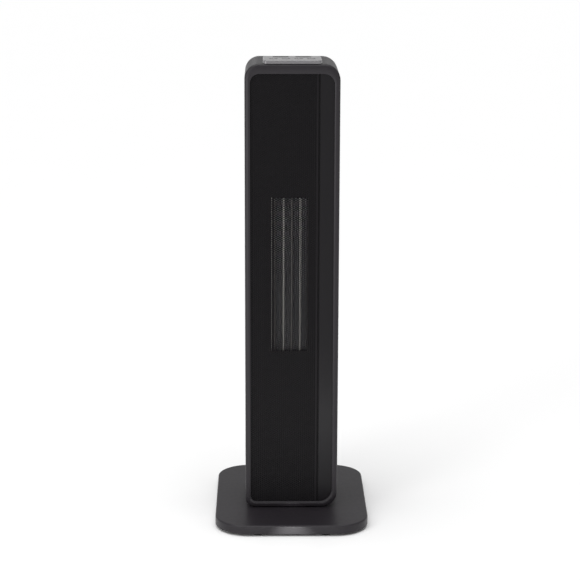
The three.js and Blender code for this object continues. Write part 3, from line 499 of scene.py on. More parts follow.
FINISHES = {
    # ABS from a spark-eroded mould: a fine even grain of about 0.5 mm, drawn at 1.1 mm so that it shows,
    # scatters highlights into a soft satin.
    "shell_plastic": Finish("spark_textured_abs", "shell", (14, 0.06), (5, 0.34, 0.44), (1.1, 0.05, 0.35),
                            plastic(0.3)),
    # Glass-filled polyester for inner mouldings: dull black with faint flow marks a few centimetres long.
    "inner_plastic": Finish("moulded_black_plastic", "inner", (22, 0.18), (9, 0.5, 0.68), (1.6, 0.04, 0.3),
                            plastic(0.25)),
    # Perforated steel under satin black powder coat: orange peel of about 1.5 mm breaks up the shine.
    "grille_metal": Finish("powder_coated_sheet", "grille", (10, 0.08), (6, 0.42, 0.56), (1.5, 0.03, 0.3),
                           plastic(0.2)),
    # ABS from a polished mould: near black, smooth, with a broad soft reflection and a very slight ripple.
    "strip_plastic": Finish("polished_strip_abs", "strip", (40, 0.05), (25, 0.26, 0.34), (30, 0.03, 0.2),
                            plastic(0.2)),
    # Grey lacquer with fine mica flake under a clear coat: the flakes glint a little under a hard gloss.
    "panel_gloss": Finish("pearl_lacquer", "panel", mica_flakes, (12, 0.26, 0.34), None,
                          {"Metallic": 0.25, "IOR": 1.5, "Coat Weight": 0.8, "Coat Roughness": 0.07}),
    # Smoked acrylic with an anti-glare coat: almost black, with fine wipe marks.
    "lens_gloss": Finish("smoked_acrylic", "lens", (6, 0.2), (3, 0.25, 0.35), None, plastic(0.05, 1.49)),
    # White pad-printed ink: flat, a little thin in places.
    "mark": Finish("printed_white", "mark", (0.8, 0.06), (1, 0.5, 0.65), None, plastic(0.5)),
    # Black thermoplastic rubber: matt, with dust held in a fine grain.
    "rubber": Finish("moulded_rubber", "rubber", (3, 0.3), (2, 0.75, 0.92), (0.8, 0.06, 0.5), plastic(0.3)),
    # Cold-rolled steel with bright zinc: cloudy patches of a few millimetres over fine rolling lines.
    "steel": Finish("zinc_plated_steel", "steel", (4, 0.12), (3, 0.28, 0.45), rolling_lines,
                    {"Metallic": 1.0}),
    # Ceramic stones in a thin pressed aluminium jacket: satin, patches of 18 mm, pale as a painted highlight.
    "ceramic": Finish("bright_heating_bar", "ceramic", (18, 0.08), (7, 0.45, 0.6), (2, 0.03, 0.3),
                      {"Metallic": 0.0}),
    # The same jackets on the bars between them, drawn darker as painted shade.
    "dull_ceramic": Finish("dull_heating_bar", "tinned", (18, 0.08), (7, 0.45, 0.6), (2, 0.03, 0.3),
                           {"Metallic": 0.3}),
    # Thin rolled aluminium: bright satin, a little cloudy.
    "aluminium": Finish("rolled_aluminium", "aluminium", (9, 0.1), (4, 0.35, 0.5), None, {"Metallic": 0.8}),
    # Unfilled nylon: milky, slightly waxy, with light passing a short way in.
    "nylon": Finish("natural_nylon", "nylon", (12, 0.05), (6, 0.4, 0.52), None,
                    {"IOR": 1.53, "Subsurface Weight": 0.1, "Subsurface Scale": 1.5 * MM}),
    # Glass-epoxy board under green solder mask: semi-gloss with lighter tracks.
    "board_laminate": Finish("solder_masked_laminate", "laminate", copper_tracks, (5, 0.3, 0.45), None,
                             {"IOR": 1.5}),
    # Drawn steel can with dull plating: mid grey with soft cloudy patches.
    "motor_steel": Finish("plated_motor_can", "motor", (8, 0.12), (5, 0.38, 0.55), None, {"Metallic": 0.9}),
    # Plain-woven nylon screen: a fine check of satin threads, with painted shade in the dark gaps between
    # them.
    "filter_mesh": Finish("woven_dust_screen", "mesh", threads_and_gap_shade, (4, 0.55, 0.7), screen_relief,
                          {"Specular IOR Level": 0.3}),
    # Matt white studio paper: even, with the faintest tooth.
    "floor": Finish("pale_floor", "floor", (400, 0.004), None, None,
                    {"Specular IOR Level": 0.0, "Roughness": 1.0}),
}


def material_for(slot):
    """The material of a slot, made the first time it is asked for."""
    finish = FINISHES[slot]
    material = bpy.data.materials.get(finish.name)
    if material:
        return material
    material = bpy.data.materials.new(finish.name)
    material.use_nodes = True
    tree = material.node_tree
    tree.nodes.clear()
    rgb, patches, grain = getattr(colours(), finish.colour), finish.patches, finish.grain
    base = patches(tree, rgb) if callable(patches) else shades(tree, rgb, patches[0] * MM, patches[1])
    links = {"Base Color": base}
    if finish.shine:
        size, low, high = finish.shine
        links["Roughness"] = uneven(tree, size * MM, low, high)
    if grain:
        coarse = () if callable(grain) else (grain[0] * MM, grain[1] * MM, grain[2])
        links["Normal"] = relief(tree, *coarse) if coarse else grain(tree)
    surface = add(tree, "ShaderNodeBsdfPrincipled", finish.settings, links)
    add(tree, "ShaderNodeOutputMaterial", {}, {"Surface": surface.outputs[0]})
    return material


# ---------- outlines of the tower ----------
def tower_ring(y, inset=0.0):
    """The tower's outer outline at depth y."""
    s = sizes()
    radii = (s.corner_top_left, s.corner_top_right, s.corner_bottom_right, s.corner_bottom_left)
    return standing(outline(TOWER_LOW[0], TOWER_HIGH[0], TOWER_LOW[2], TOWER_HIGH[2], radii, inset), y)


def opening_bounds():
    """Left, right, bottom and top of the opening in the front frame, and its corner radii."""
    s = sizes()
    radii = (
        s.corner_top_left - s.ring_side,
        s.corner_top_right - s.ring_side,
        s.corner_bottom_right - s.ring_bottom / 2,
        s.corner_bottom_left - s.ring_bottom / 2,
    )
    sides = (TOWER_LOW[0] + s.ring_side, TOWER_HIGH[0] - s.ring_side)
    return (*sides, TOWER_LOW[2] + s.ring_bottom, TOWER_HIGH[2] - s.ring_top, radii)


def opening_ring(y, inset=0.0):
    """The edge of the opening in the front frame at depth y."""
    return standing(outline(*opening_bounds(), inset), y)


def post_bore():
    """A round cutter for the hole in the tower's floor that the pivot post comes up through."""
    radius = (sizes().post_radius + GAP) / MM
    return turned([(radius, -10), (radius, 10)], (0, 0, TOWER_LOW[2]), steps=64)


def lay_floor():
    """One wide square at height 0."""
    reach = 30.0
    corners = np.array([[-reach, -reach, 0], [reach, -reach, 0], [reach, reach, 0], [-reach, reach, 0]])
    mesh = bpy.data.meshes.new("floor")
    mesh.from_pydata(corners.tolist(), [], [[0, 1, 2, 3]])
    mesh.materials.append(material_for("floor"))
    floor = bpy.data.objects.new("floor", mesh)
    bpy.context.collection.objects.link(floor)


def put_light(light, location, target):
    """Puts a light at a location, turned to face a target."""
    holder = bpy.data.objects.new(light.name, light)
    way = Vector(target) - Vector(location)
    holder.location, holder.rotation_euler = location, way.to_track_quat("-Z", "Y").to_euler()
    bpy.context.collection.objects.link(holder)


def light_studio(scene):
    """White surroundings, a wide sun overhead, softboxes, and a spot that brightens the base's front rim."""
    surroundings, sun_power, sun_width = 0.5, 1.75, math.radians(60)
    world = bpy.data.worlds.new("studio")
    world.use_nodes = True
    background = world.node_tree.nodes["Background"]
    background.inputs["Color"].default_value = (1, 1, 1, 1)
    background.inputs["Strength"].default_value = surroundings
    scene.world = world
    overhead = bpy.data.lights.new("overhead", "SUN")
    overhead.energy, overhead.angle = sun_power, sun_width
    put_light(overhead, (0, 0, 3), (0.2, 0.3, 0))
    middle, top, foot = (0, FRONT, 0.3), (0, 0, 0.58), (0, FRONT, 0.02)
    for name, location, target, wide, tall, power in (
        # name, place, target, width, height, watts
        ("left_softbox", (-0.75, -0.95, 0.6), middle, 0.35, 1.4, 4.8),
        ("left_rim", (-0.15, 0.9, 0.74), top, 0.1, 0.12, 0.02),
        ("right_rim", (0.15, 0.9, 0.74), top, 0.1, 0.12, 0.01),
        ("foot_strip", (0, -0.42, 0.02), foot, 0.3, 0.03, 0.12),
    ):
        softbox = bpy.data.lights.new(name, "AREA")
        softbox.shape, softbox.size, softbox.size_y, softbox.energy = "RECTANGLE", wide, tall, power
        put_light(softbox, location, target)
    spot_power, cone, fade, bulb = 215, math.radians(1.7), 0.15, 0.01
    spot = bpy.data.lights.new("base_rim_spot", "SPOT")
    spot.energy, spot.spot_size, spot.spot_blend, spot.shadow_soft_size = spot_power, cone, fade, bulb
    put_light(spot, (0, -2.0, 0.02), (0, CAD_BOX[0][1], -0.014))


def set_camera(scene):
    """A long lens in front of the heater, a little above it and looking slightly down."""
    focal, sensor, near, far = 111.7, 36.0, 0.1, 100.0
    position, below_level = (-0.033, -2.234, 0.8133), 13.23
    yaw, pitch, roll = math.radians(-0.804), math.radians(90 - below_level), math.radians(0.153)
    data = bpy.data.cameras.new("camera")
    data.lens, data.sensor_width, data.clip_start, data.clip_end = focal, sensor, near, far
    camera = bpy.data.objects.new("camera", data)
    turn = Matrix.Rotation(yaw, 4, "Z") @ Matrix.Rotation(pitch, 4, "X") @ Matrix.Rotation(roll, 4, "Z")
    camera.matrix_world = Matrix.Translation(position) @ turn
    bpy.context.collection.objects.link(camera)
    scene.camera = camera


class HEATER_OT_stage(Operator):
    """Lays the pale floor and sets the soft studio light and the camera"""
    bl_idname = "heater.stage"
    bl_label = "Stage"

    def execute(self, context):
        scene = context.scene
        scene.view_settings.view_transform = "Standard"
        lay_floor()
        light_studio(scene)
        set_camera(scene)
        return {"FINISHED"}


class HEATER_OT_base_shell(Operator):
    """Builds the wide base shell with its rounded rim, the seat of the slide ring and the post's bore"""
    bl_idname = "heater.base_shell"
    bl_label = "Base shell"

    def execute(self, context):
        s = sizes()
        low, high = span("base_shell")
        slide_low, slide_high = span("slide_ring")
        bottom_edge, seat_flare = 0.4 * MM, 1.05
        under, seat_floor, bore_radius = high[2] - s.wall, slide_low[2] - GAP, s.post_radius + GAP
        ring_at = flat_box("base_shell", 0, s.base_corner)
        spokes = ring_at(0.0)[:, :2]
        bore = bore_radius * spokes / np.linalg.norm(spokes, axis=1)[:, None]
        seat = bore * (slide_high[0] + GAP) / bore_radius
        rings = [ring_at(low[2], bottom_edge), ring_at(low[2] + bottom_edge)]
        rings += rim(ring_at, high[2], s.base_edge, 1)
        rings += [lying(seat * seat_flare, high[2]), lying(seat, high[2]), lying(seat, seat_floor)]
        rings += [lying(bore, seat_floor), lying(bore, under)]
        rings += [ring_at(under, s.wall), ring_at(low[2], s.wall)]
        build("base_housing", [loft(rings, tube=True)], "shell_plastic", "base", ["base_shell"])
        return {"FINISHED"}


class HEATER_OT_feet(Operator):
    """Turns the four rubber feet, each with a soft rim and a ring groove underneath"""
    bl_idname = "heater.feet"
    bl_label = "Rubber feet"

    def execute(self, context):
        # radius and height in millimetres, from the hollow underside to the base
        profile = [(0.8, 0.5), (4.2, 0.5), (4.6, 0), (7.2, 0), (7.8, 0.25), (8, 0.8), (8, 2.3), (7.7, 3)]
        for number in range(1, 5):
            node = "foot_%d" % number
            x, y, _ = middle_of(node)
            build("rubber_" + node, [turned(profile, (x, y, 0))], "rubber", "base", [node])
        return {"FINISHED"}


class HEATER_OT_front_frame(Operator):
    """Lofts the frame round the grille, crowned between two rounded rims, with its skirt behind"""
    bl_idname = "heater.front_frame"
    bl_label = "Front frame"

    def execute(self, context):
        s = sizes()
        face, lip, crown_rings = FRONT + s.ring_crown, FRONT + s.ring_lip, 5
        rings = [tower_ring(BEZEL_BACK, SEAM_EDGE), tower_ring(BEZEL_BACK - SEAM_EDGE)]
        rings += round_off(tower_ring, face, s.front_edge, -1)
        outer, inner = tower_ring(0, s.front_edge), opening_ring(0, -s.inner_edge)
        for share in np.linspace(0, 1, crown_rings + 2)[1:-1]:
            ring = outer + (inner - outer) * share
            ring[:, 1] = face - s.ring_crown * 4 * share * (1 - share)  # a parabola, highest half way across
            rings.append(ring)
        rings += roll_over(opening_ring, face, s.inner_edge, -1)
        rings += [opening_ring(lip), tower_ring(lip, s.wall), tower_ring(BEZEL_BACK, s.wall)]
        build("front_frame", [loft(rings, tube=True)], "shell_plastic", "tower", ["front_bezel"])
        return {"FINISHED"}


class HEATER_OT_sleeve(Operator):
    """Lofts the middle sleeve of the tower and cuts the openings for the controls and the pivot post"""
    bl_idname = "heater.sleeve"
    bl_label = "Tower sleeve"

    def execute(self, context):
        wall, front, back = sizes().wall, BEZEL_BACK + GAP, SEAM - GAP
        rings = [tower_ring(front, SEAM_EDGE), tower_ring(front + SEAM_EDGE), tower_ring(back - SEAM_EDGE)]
        rings += [tower_ring(back, SEAM_EDGE), tower_ring(back, wall), tower_ring(front, wall)]
        low, high = span("control_panel")
        ledge, corner = 4 * MM, 5 * MM
        hatch_at = flat_rectangle(low[0] + ledge, high[0] - ledge, front + ledge, high[1] - ledge, corner)
        hatch = slab(hatch_at, TOWER_HIGH[2] - 3 * wall, TOWER_HIGH[2] + wall)
        build("tower_sleeve", [loft(rings, tube=True)], "shell_plastic", "tower", ["body_shell"],
              cutters=[hatch, post_bore()])
        return {"FINISHED"}


def hole_lattice(edge):
    """Centres of the holes in upright columns, every other column half a pitch higher, and which of them
    lie within the opening. The distance to a rounded rectangle is the length of the part of the offset
    beyond its corner's centre, less the radius."""
    pitch, past_edge = sizes().hole_pitch, 0.6
    left, right, bottom, top, (top_left, top_right, bottom_right, bottom_left) = opening_bounds()
    step = pitch * math.sqrt(3) / 2
    columns = np.arange(math.ceil((edge - left) / step) + 3)
    rows = np.arange(math.ceil((top - bottom) / pitch) + 4)
    x = edge - (columns[::-1, None] - 0.5) * step + 0 * rows
    z = bottom + (rows[None, :] - 2 + (columns[:, None] % 2) / 2) * pitch
    middle_x, middle_z = (left + right) / 2, (bottom + top) / 2
    over = np.where(x < middle_x, top_left, top_right)
    under = np.where(x < middle_x, bottom_left, bottom_right)
    radius = np.where(z > middle_z, over, under)
    beyond_x = np.abs(x - middle_x) - (right - left) / 2 + radius
    beyond_z = np.abs(z - middle_z) - (top - bottom) / 2 + radius
    distance = np.hypot(np.maximum(beyond_x, 0), np.maximum(beyond_z, 0)) - radius
    distance = np.where((beyond_x < 0) & (beyond_z < 0), -radius, distance)
    return (distance < past_edge * pitch) & (x < edge + step), np.stack([x, z], -1)


def hole_corners(centres):
    """Six corners round each centre, at every sixth of a turn from +X."""
    angle = np.arange(6) * np.pi / 3
    radius = sizes().hole_width / 2 / math.cos(math.pi / 6)
    spokes = radius * np.stack([np.cos(angle), np.sin(angle)], -1)
    return (centres[:, :, None] + spokes).reshape(-1, 2)


def metal_between(present):
    """The metal between the holes: a strip from each hole to its neighbours up and to the right, and a
    triangle between each three holes that touch. Corner c of hole h is point 6 h + c."""
    columns, rows = present.shape
    column, row = np.meshgrid(np.arange(columns), np.arange(rows), indexing="ij")
    upper, lower = row + column % 2, row + column % 2 - 1
    inside = (column < columns - 1) & (row > 0) & (row < rows - 1)
    neighbours = ((column, row), (column + 1, upper), (column + 1, lower), (column, row + 1))
    here, up_right, down_right, up = [(c * rows + r)[inside] for c, r in neighbours]
    there = present.ravel()
    strips = []
    for side, other in ((5, down_right), (0, up_right), (1, up)):
        both = there[here] & there[other]
        a, b = here[both] * 6, other[both] * 6
        strips.append(np.stack([a + side, b + (side + 4) % 6, b + (side + 3) % 6, a + (side + 1) % 6], -1))
    gaps = []
    for first, second, corners in ((up_right, up, (1, 3, 5)), (down_right, up_right, (0, 2, 4))):
        three = there[here] & there[first] & there[second]
        holes = (here, first, second)
        gaps.append(np.stack([hole[three] * 6 + corner for hole, corner in zip(holes, corners)], -1))
    return [np.concatenate(strips), np.concatenate(gaps)]


class HEATER_OT_grille(Operator):
    """Punches the sheet with several thousand staggered holes"""
    bl_idname = "heater.grille"
    bl_label = "Perforated grille"

    def execute(self, context):
        low, high = span("front_grille")
        selvedge, past, proud, corner = 2 * MM, 2 * MM, 0.1 * MM, 0.5 * MM
        edge = high[0] - selvedge
        present, centres = hole_lattice(edge)
        points, faces = hole_corners(centres), metal_between(present)
        used = np.unique(np.concatenate([group.ravel() for group in faces]))
        renumber = np.full(len(points), -1)
        renumber[used] = np.arange(len(used))
        faces = [renumber[group] for group in faces]
        sheet = thicken(points[used], faces, low[1], low[1] + sizes().sheet_thick)
        _, _, bottom, top, _ = opening_bounds()
        band_at = upright_rectangle(edge, high[0], bottom - past, top + past, corner)
        band = slab(band_at, low[1] - proud, high[1])
        build("perforated_grille", [sheet, band], "grille_metal", "tower", ["front_grille"])
        return {"FINISHED"}


class HEATER_OT_side_strip(Operator):
    """Lays the smooth strip beside the grille with a dark channel along its left edge"""
    bl_idname = "heater.side_strip"
    bl_label = "Side strip"

    def execute(self, context):
        s = sizes()
        low, high = span("side_strip")
        square, edge = 0.8 * MM, 0.9 * MM
        radii = (square, s.corner_top_right - s.ring_side, s.corner_bottom_right - s.ring_bottom, square)
        ring_at = upright_rectangle(low[0] + s.strip_groove, high[0], low[2], high[2], *radii)
        strip = slab(ring_at, high[1], low[1], 0, edge)
        build("smooth_strip", [strip], "strip_plastic", "tower", ["side_strip"])
        return {"FINISHED"}


def rear_cutters():
    """Plates for the door, the recess and the rocker, and turned plugs for the gland, post and screws."""
    outside, inside = BACK + 4 * MM, BACK - 8 * MM
    tools = [
        slab(upright_box(node, margin, radius), inside, outside)
        for node, margin, radius in (
            ("filter_door", -GAP, DOOR_CORNER), ("handle_cup", 2.7 * MM, 5 * MM),
            ("rocker_frame", 1.7 * MM, 1.5 * MM),
        )
    ]
    x, _, z = middle_of("cord_gland")
    tools += [turned([(6, -8), (6, 4)], (x, BACK, z), "Y", 48), post_bore()]
    for number in (1, 2):
        x, _, z = middle_of("rear_screw_%d" % number)
        tools.append(turned([(1.8, -4), (1.8, -1.4), (3.8, -1.4), (3.8, 1)], (x, BACK, z), "Y", 32))
    return tools


def door_ledge():
    """The rim inside the opening that the filter door rests on: a square tube carried round the door."""
    ring_at = upright_box("filter_door", 0, DOOR_CORNER)
    ledge, below_screen, below_wall = 4 * MM, 1.4 * MM, 0.02 * MM
    near, far = span("filter_screen")[0][1] - below_screen, BACK - sizes().wall - below_wall
    rings = [ring_at(near, -ledge), ring_at(far, -ledge), ring_at(far, ledge), ring_at(near, ledge)]
    build("filter_ledge", [loft(rings, tube=True)], "shell_plastic", "tower", [])


class HEATER_OT_rear_cover(Operator):
    """Lofts the rear cover with its rounded back and cuts the door opening, fittings and screw holes"""
    bl_idname = "heater.rear_cover"
    bl_label = "Rear cover"

    def execute(self, context):
        s = sizes()
        inner_edge, inside_y, flat, cut_edge = s.back_edge - s.wall, BACK - s.wall, 0.5 * MM, 0.35 * MM
        rings = [tower_ring(inside_y, s.wall + inner_edge + flat)]
        rings += round_off(tower_ring, inside_y, inner_edge, 1, s.wall)[::-1]
        rings += [tower_ring(SEAM, s.wall), tower_ring(SEAM, SEAM_EDGE), tower_ring(SEAM + SEAM_EDGE)]
        rings += round_off(tower_ring, BACK, s.back_edge, 1) + [tower_ring(BACK, s.back_edge + flat)]
        build("rear_housing", [loft(rings, caps=True)], "shell_plastic", "tower", ["rear_cover"],
              cutters=rear_cutters(), edge=cut_edge)
        door_ledge()
        return {"FINISHED"}


def louvre(x0, x1, y, z):
    """A flattened ellipse, tilted to shed the line of sight, carried straight along X."""
    corners, tilt, half_wide, half_thin = 12, math.radians(35), 1.5 * MM, 0.62 * MM
    angle = np.linspace(0, 2 * np.pi, corners, endpoint=False)
    wide, thin = half_wide * np.cos(angle), half_thin * np.sin(angle)
    depth = y + wide * math.sin(tilt) + thin * math.cos(tilt)
    height = z + wide * math.cos(tilt) - thin * math.sin(tilt)
    return loft([np.column_stack([np.full(corners, x), depth, height]) for x in (x0, x1)], caps=True)


class HEATER_OT_filter_door(Operator):
    """Builds the louvred filter door: frame, middle bar, tilted louvres and finger tab"""
    bl_idname = "heater.filter_door"
    bl_label = "Filter door"

    def execute(self, context):
        low, high = span("filter_door")
        width, half_bar, outer_edge, inner_edge, overlap = 7 * MM, 3 * MM, 0.5 * MM, 0.4 * MM, 0.5 * MM
        near, bottom, top = low[1], low[2] + width, high[2] - width
        outer, inner = upright_box("filter_door", 0, DOOR_CORNER), upright_box("filter_door", width, 2.5 * MM)
        rings = [outer(near)] + rim(outer, BACK, outer_edge, 1) + roll_over(inner, BACK, inner_edge, 1)
        bar_at = upright_rectangle(-half_bar, half_bar, bottom - MM, top + MM, 0.5 * MM)
        shells = [loft(rings + [inner(near)], tube=True), slab(bar_at, near, BACK - 0.1 * MM, 0, 0.4 * MM)]
        count = round((top - bottom) / sizes().louvre_pitch)
        step = (top - bottom) / count
        for x0, x1 in ((low[0] + width, -half_bar), (half_bar, high[0] - width)):
            for level in bottom + (np.arange(count) + 0.5) * step:
                shells.append(louvre(x0 - overlap, x1 + overlap, (near + BACK) / 2, level))
        tab, half_long, half_high = high[2] - width / 2, 12 * MM, 1.5 * MM
        tab_at = upright_rectangle(-half_long, half_long, tab - half_high, tab + half_high, 1.4 * MM)
        shells.append(slab(tab_at, BACK - 0.5 * MM, high[1], 0, 0.8 * MM))
        build("louvred_filter_door", shells, "shell_plastic", "filter", ["filter_door"])
        return {"FINISHED"}


def flanged_cup(name, node, millimetres):
    """A flanged cup in the box of its node."""
    flange, cup_corner, flange_corner, flange_thick, wall, edge = np.array(millimetres) * MM
    low, high = span(node)
    cup_at, flange_at = upright_box(node, flange, cup_corner), upright_box(node, 0, flange_corner)
    shell = tray(cup_at, flange_at, low[1], high[1] - flange_thick, high[1], wall, edge)
    build(name, [shell], "inner_plastic", "tower", [node])


def rocker_key():
    """A block carried along X whose face follows a parabola, dished and leaning towards its top."""
    low, high = span("rocker_switch")
    proud, lean, hollow = 5.1 * MM, 0.75 * MM, 0.7 * MM  # of the face, in front of the pivot
    behind, upper_side, lower_side = -3 * MM, 3 * MM, 2 * MM  # depths of the block's corners
    behind_inset, side_inset, face_inset = 1.5 * MM, 0.7 * MM, 1.2 * MM  # how far they lie inside the ends
    side_edge, shrink, face_points = 0.35 * MM, 0.93, 13
    half, pivot_y, pivot_z = (high[2] - low[2]) / 2, BACK - 4 * MM, (low[2] + high[2]) / 2
    height = np.linspace(1, -1, face_points) * (half - face_inset)
    dish = proud + lean * height / half + hollow * (height / half) ** 2
    back, side = half - behind_inset, half - side_inset
    y = np.concatenate([[behind, behind, upper_side], dish, [lower_side]])
    z = np.concatenate([[-half + behind_inset, back, side], height, [-half + side_inset]])
    sides = ((low[0], shrink), (low[0] + side_edge, 1), (high[0] - side_edge, 1), (high[0], shrink))
    rings = [
        np.column_stack([np.full(len(y), x), pivot_y + y * share, pivot_z + z * share]) for x, share in sides
    ]
    build("rocker_key", [loft(rings, caps=True)], "lens_gloss", "rocker", ["rocker_switch"])


def cord_grommet():
    """A turned sleeve with a domed collar."""
    x, _, z = middle_of("cord_gland")
    profile = [(4, -10), (5.7, -10), (5.7, 0.3), (7.7, 0.3), (8, 0.6), (8, 1.1), (7.3, 2.3), (6.6, 2.9),
               (6.2, 3), (4.8, 3), (4.3, 2.8), (4, 2.3)]
    shell = turned(profile, (x, BACK, z), "Y", 48, tube=True)
    build("cord_grommet", [shell], "rubber", "tower", ["cord_gland"])


def cross_head_screw(node, axis, body):
    """A domed head with a cross recess on a plain shank."""
    low, high = span(node)
    middle = middle_of(node)
    along, way, maker = (1, 1, upright_rectangle) if axis == "Y" else (2, -1, flat_rectangle)
    start, face = (low[along], high[along]) if way == 1 else (high[along], low[along])
    depth = (high[along] - low[along]) / MM
    centre = middle.copy()
    centre[along] = start
    shank = [(1.45, 0.3), (1.5, 0.8), (1.5, depth - 1.3)]
    head = [(3.4, depth - 1.3), (3.5, depth - 0.9), (3.1, depth - 0.35), (2.0, depth - 0.08), (0.6, depth)]
    profile = [(radius, way * height) for radius, height in shank + head]
    x, other = middle[0], middle[3 - along]
    reach, slots = sorted((face - way * 0.8 * MM, face + way * MM)), []
    for wide, tall in ((2 * MM, 0.35 * MM), (0.35 * MM, 2 * MM)):
        slots.append(slab(maker(x - wide, x + wide, other - tall, other + tall, 0.1 * MM), *reach))
    build(node + "_cross_head", [turned(profile, centre, axis, 28)], "steel", body, [node], cutters=slots)


class HEATER_OT_fittings(Operator):
    """Builds the carrying recess, rocker switch, cord gland and screws"""
    bl_idname = "heater.fittings"
    bl_label = "Back fittings"

    def execute(self, context):
        # flange width, cup corner, flange corner, flange thickness, wall and edge, in millimetres
        flanged_cup("carry_recess", "handle_cup", (3, 4.5, 6, 1, 1.6, 1.2))
        flanged_cup("rocker_bezel", "rocker_frame", (2, 1.2, 2, 1.2, 1.2, 0.4))
        rocker_key()
        cord_grommet()
        for number in (1, 2):
            cross_head_screw("rear_screw_%d" % number, "Y", "tower")
        for number in range(1, 5):
            cross_head_screw("base_screw_%d" % number, "Z", "base")
        return {"FINISHED"}


def panel_hole(name, margin, corner, below):
    """A plate that cuts the panel from a little below the node's box to above the panel."""
    low, high = span(name)
    return slab(flat_box(name, margin, corner), low[2] - below, high[2] + 2 * MM)


def key_marks(number, middle, level):
    """Generic marks: a ring, a dash, a cross and a row of three dots."""
    x, y, thick = middle[0], middle[1], 0.12
    if number == 1:
        circle = [(0.9, 0), (1.25, 0), (1.25, thick), (0.9, thick)]
        return [turned(circle, (x, y, level), steps=32, tube=True)]
    if number == 4:
        dot, apart = [(0.3, 0), (0.3, thick)], 1.2 * MM
        return [turned(dot, (x + side * apart, y, level), steps=16) for side in (-1, 0, 1)]
    long, short = 1.3 * MM, 0.18 * MM
    return [
        slab(flat_rectangle(x - wide, x + wide, y - tall, y + tall, 0.1 * MM), level,
             level + thick * MM + over * 0.01 * MM)
        for over, (wide, tall) in enumerate([(long, short), (short, long)][:number - 1])
    ]


def soft_key(number, name):
    """A flanged pill with a mark printed on it. Its top dips with the sine of the way to its middle."""
    low, high = span(name)
    flange, flange_thick, flange_edge = MM, 1.3 * MM, 0.2 * MM
    edge, dip_end, dip_depth = 0.3 * MM, 3.3 * MM, 0.1 * MM
    flange_at, cap_at = flat_box(name, 0, 4.49 * MM), flat_box(name, flange, 3.49 * MM)
    ledge = low[2] + flange_thick
    rings = [flange_at(low[2], flange_edge), flange_at(low[2] + flange_edge), flange_at(ledge), cap_at(ledge)]
    rings += round_off(cap_at, high[2], edge, 1)
    inset = np.linspace(edge, dip_end, 7)[1:]
    dip = dip_depth * np.sin((inset - edge) / (dip_end - edge) * np.pi / 2)
    rings += [cap_at(high[2] - fall, draw) for fall, draw in zip(dip, inset)]
    shells = [loft(rings, caps=True)] + key_marks(number, middle_of(name), high[2] - dip_depth)
    build("soft_key_%d" % number, shells, "panel_gloss", name, [name],
          finishes=["panel_gloss"] + ["mark"] * (len(shells) - 1))


class HEATER_OT_control_panel(Operator):
    """Builds the glossy control panel with its two windows and four marked buttons"""
    bl_idname = "heater.control_panel"
    bl_label = "Control panel"

    def execute(self, context):
        low, high = span("control_panel")
        plate = slab(flat_box("control_panel", 0, 5 * MM), low[2], high[2], 0.3 * MM, 1.2 * MM)
        windows, buttons = ("display_lens", "signal_lens"), ["button_%d" % number for number in range(1, 5)]
        cutters = [panel_hole(name, -GAP, 3 * MM, GAP) for name in windows]
        cutters += [panel_hole(name, MM - GAP, 3.8 * MM, 0) for name in buttons]
        build("gloss_panel", [plate], "panel_gloss", "tower", ["control_panel"], cutters, edge=0.25 * MM)
        for name in windows:
            low, high = span(name)
            pane = slab(flat_box(name, 0, 2.7 * MM), low[2], high[2], 0.1 * MM, 0.35 * MM)
            build(name + "_window", [pane], "lens_gloss", "tower", [name])
        for number, name in enumerate(buttons, 1):
            soft_key(number, name)
        return {"FINISHED"}


def folded_fin(low, high):
    """A sheet folded to and fro: across, its middle line follows a rounded triangle wave of height, and the
    sheet is that line moved half its thickness either way along its own normal."""
    steps, thick, flatness = 8, 0.22 * MM, 1.6
    count = round((high[2] - low[2]) / sizes().fin_pitch)
    height = np.linspace(low[2] + thick, high[2] - thick, count * steps + 1)
    phase = (height - height[0]) / (height[-1] - height[0]) * count * 2 * np.pi
    reach = (high[0] - low[0]) / 2 - thick
    across = (low[0] + high[0]) / 2 + reach * np.tanh(flatness * np.sin(phase)) / np.tanh(flatness)
    line = np.column_stack([across, height])
    along = np.gradient(line, axis=0)
    normal = np.column_stack([-along[:, 1], along[:, 0]]) / np.linalg.norm(along, axis=1)[:, None] * thick / 2
    right, left, near, far = line + normal, line - normal, low[1], high[1]
    corners = [standing(right, near), standing(right, far), standing(left, far), standing(left, near)]
    return loft(np.stack(corners, axis=1), caps=True)


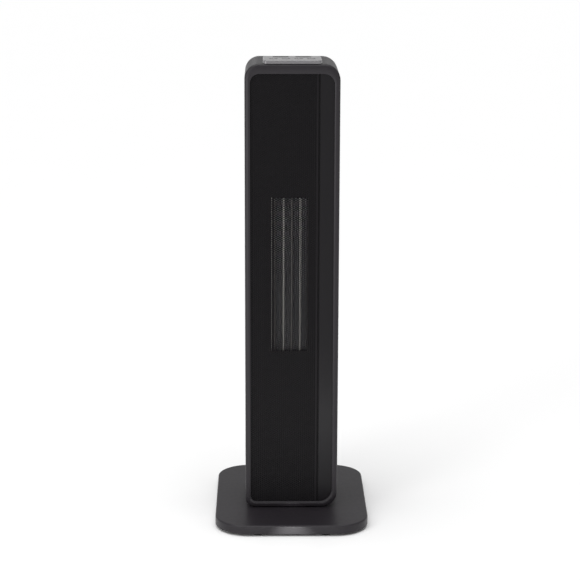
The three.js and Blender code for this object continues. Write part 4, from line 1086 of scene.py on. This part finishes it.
class HEATER_OT_heater_core(Operator):
    """Builds the five heating bars and the fine folded fins between them"""
    bl_idname = "heater.heater_core"
    bl_label = "Heating core"

    def execute(self, context):
        corner, edge = 0.7 * MM, 0.3 * MM
        nodes = sorted(frame["nodes"])
        for number, node in enumerate(name for name in nodes if name.startswith("ptc_bar")):
            low, high = span(node)
            bar = slab(flat_box(node, 0, corner), low[2], high[2], edge, edge)
            # Every other bar takes the lit copy of the jacket, the rest the shaded copy: painted highlight
            # and painted shade.
            build(node + "_jacket", [bar], "ceramic", "tower", [node],
                  finishes=["ceramic" if number % 2 else "dull_ceramic"])
        for node in [name for name in nodes if name.startswith("fin_pack")]:
            build(node + "_folds", [folded_fin(*span(node))], "aluminium", "tower", [node])
        return {"FINISHED"}


class HEATER_OT_finishes(Operator):
    """Gives every CAD node that stays in view its finish from the record's material slots"""
    bl_idname = "heater.finishes"
    bl_label = "Finishes"

    def execute(self, context):
        for row in frame["record"]["subparts"]:
            node = frame["nodes"][row["node"]]
            node.data.materials.clear()
            node.data.materials.append(material_for(row["material_slot"]))
        return {"FINISHED"}


STEPS = (
    HEATER_OT_stage, HEATER_OT_finishes, HEATER_OT_base_shell, HEATER_OT_feet, HEATER_OT_front_frame,
    HEATER_OT_sleeve, HEATER_OT_grille, HEATER_OT_side_strip, HEATER_OT_rear_cover, HEATER_OT_filter_door,
    HEATER_OT_fittings, HEATER_OT_control_panel, HEATER_OT_heater_core,
)


class HEATER_PT_sidebar(Panel):
    """Lists the sizes, colours and steps of the heater"""
    bl_idname = "HEATER_PT_sidebar"
    bl_label = "Tower heater"
    bl_space_type = "VIEW_3D"
    bl_region_type = "UI"
    bl_category = "Heater"

    def draw(self, context):
        for group in (context.scene.heater_sizes, context.scene.heater_colours):
            column = self.layout.column()
            for name in group.__annotations__:
                column.prop(group, name)
        for step in STEPS:
            self.layout.operator(step.bl_idname)


CLASSES = (HeaterSizes, HeaterColours, *STEPS, HEATER_PT_sidebar)


def register():
    for cls in CLASSES:
        bpy.utils.register_class(cls)
    bpy.types.Scene.heater_sizes = PointerProperty(type=HeaterSizes)
    bpy.types.Scene.heater_colours = PointerProperty(type=HeaterColours)


def unregister():
    del bpy.types.Scene.heater_colours
    del bpy.types.Scene.heater_sizes
    for cls in reversed(CLASSES):
        bpy.utils.unregister_class(cls)


def main():
    """Builds everything in order."""
    register()
    for step in STEPS:
        group, name = step.bl_idname.split(".")
        getattr(getattr(bpy.ops, group), name)()


if __name__ == "__main__":
    main()
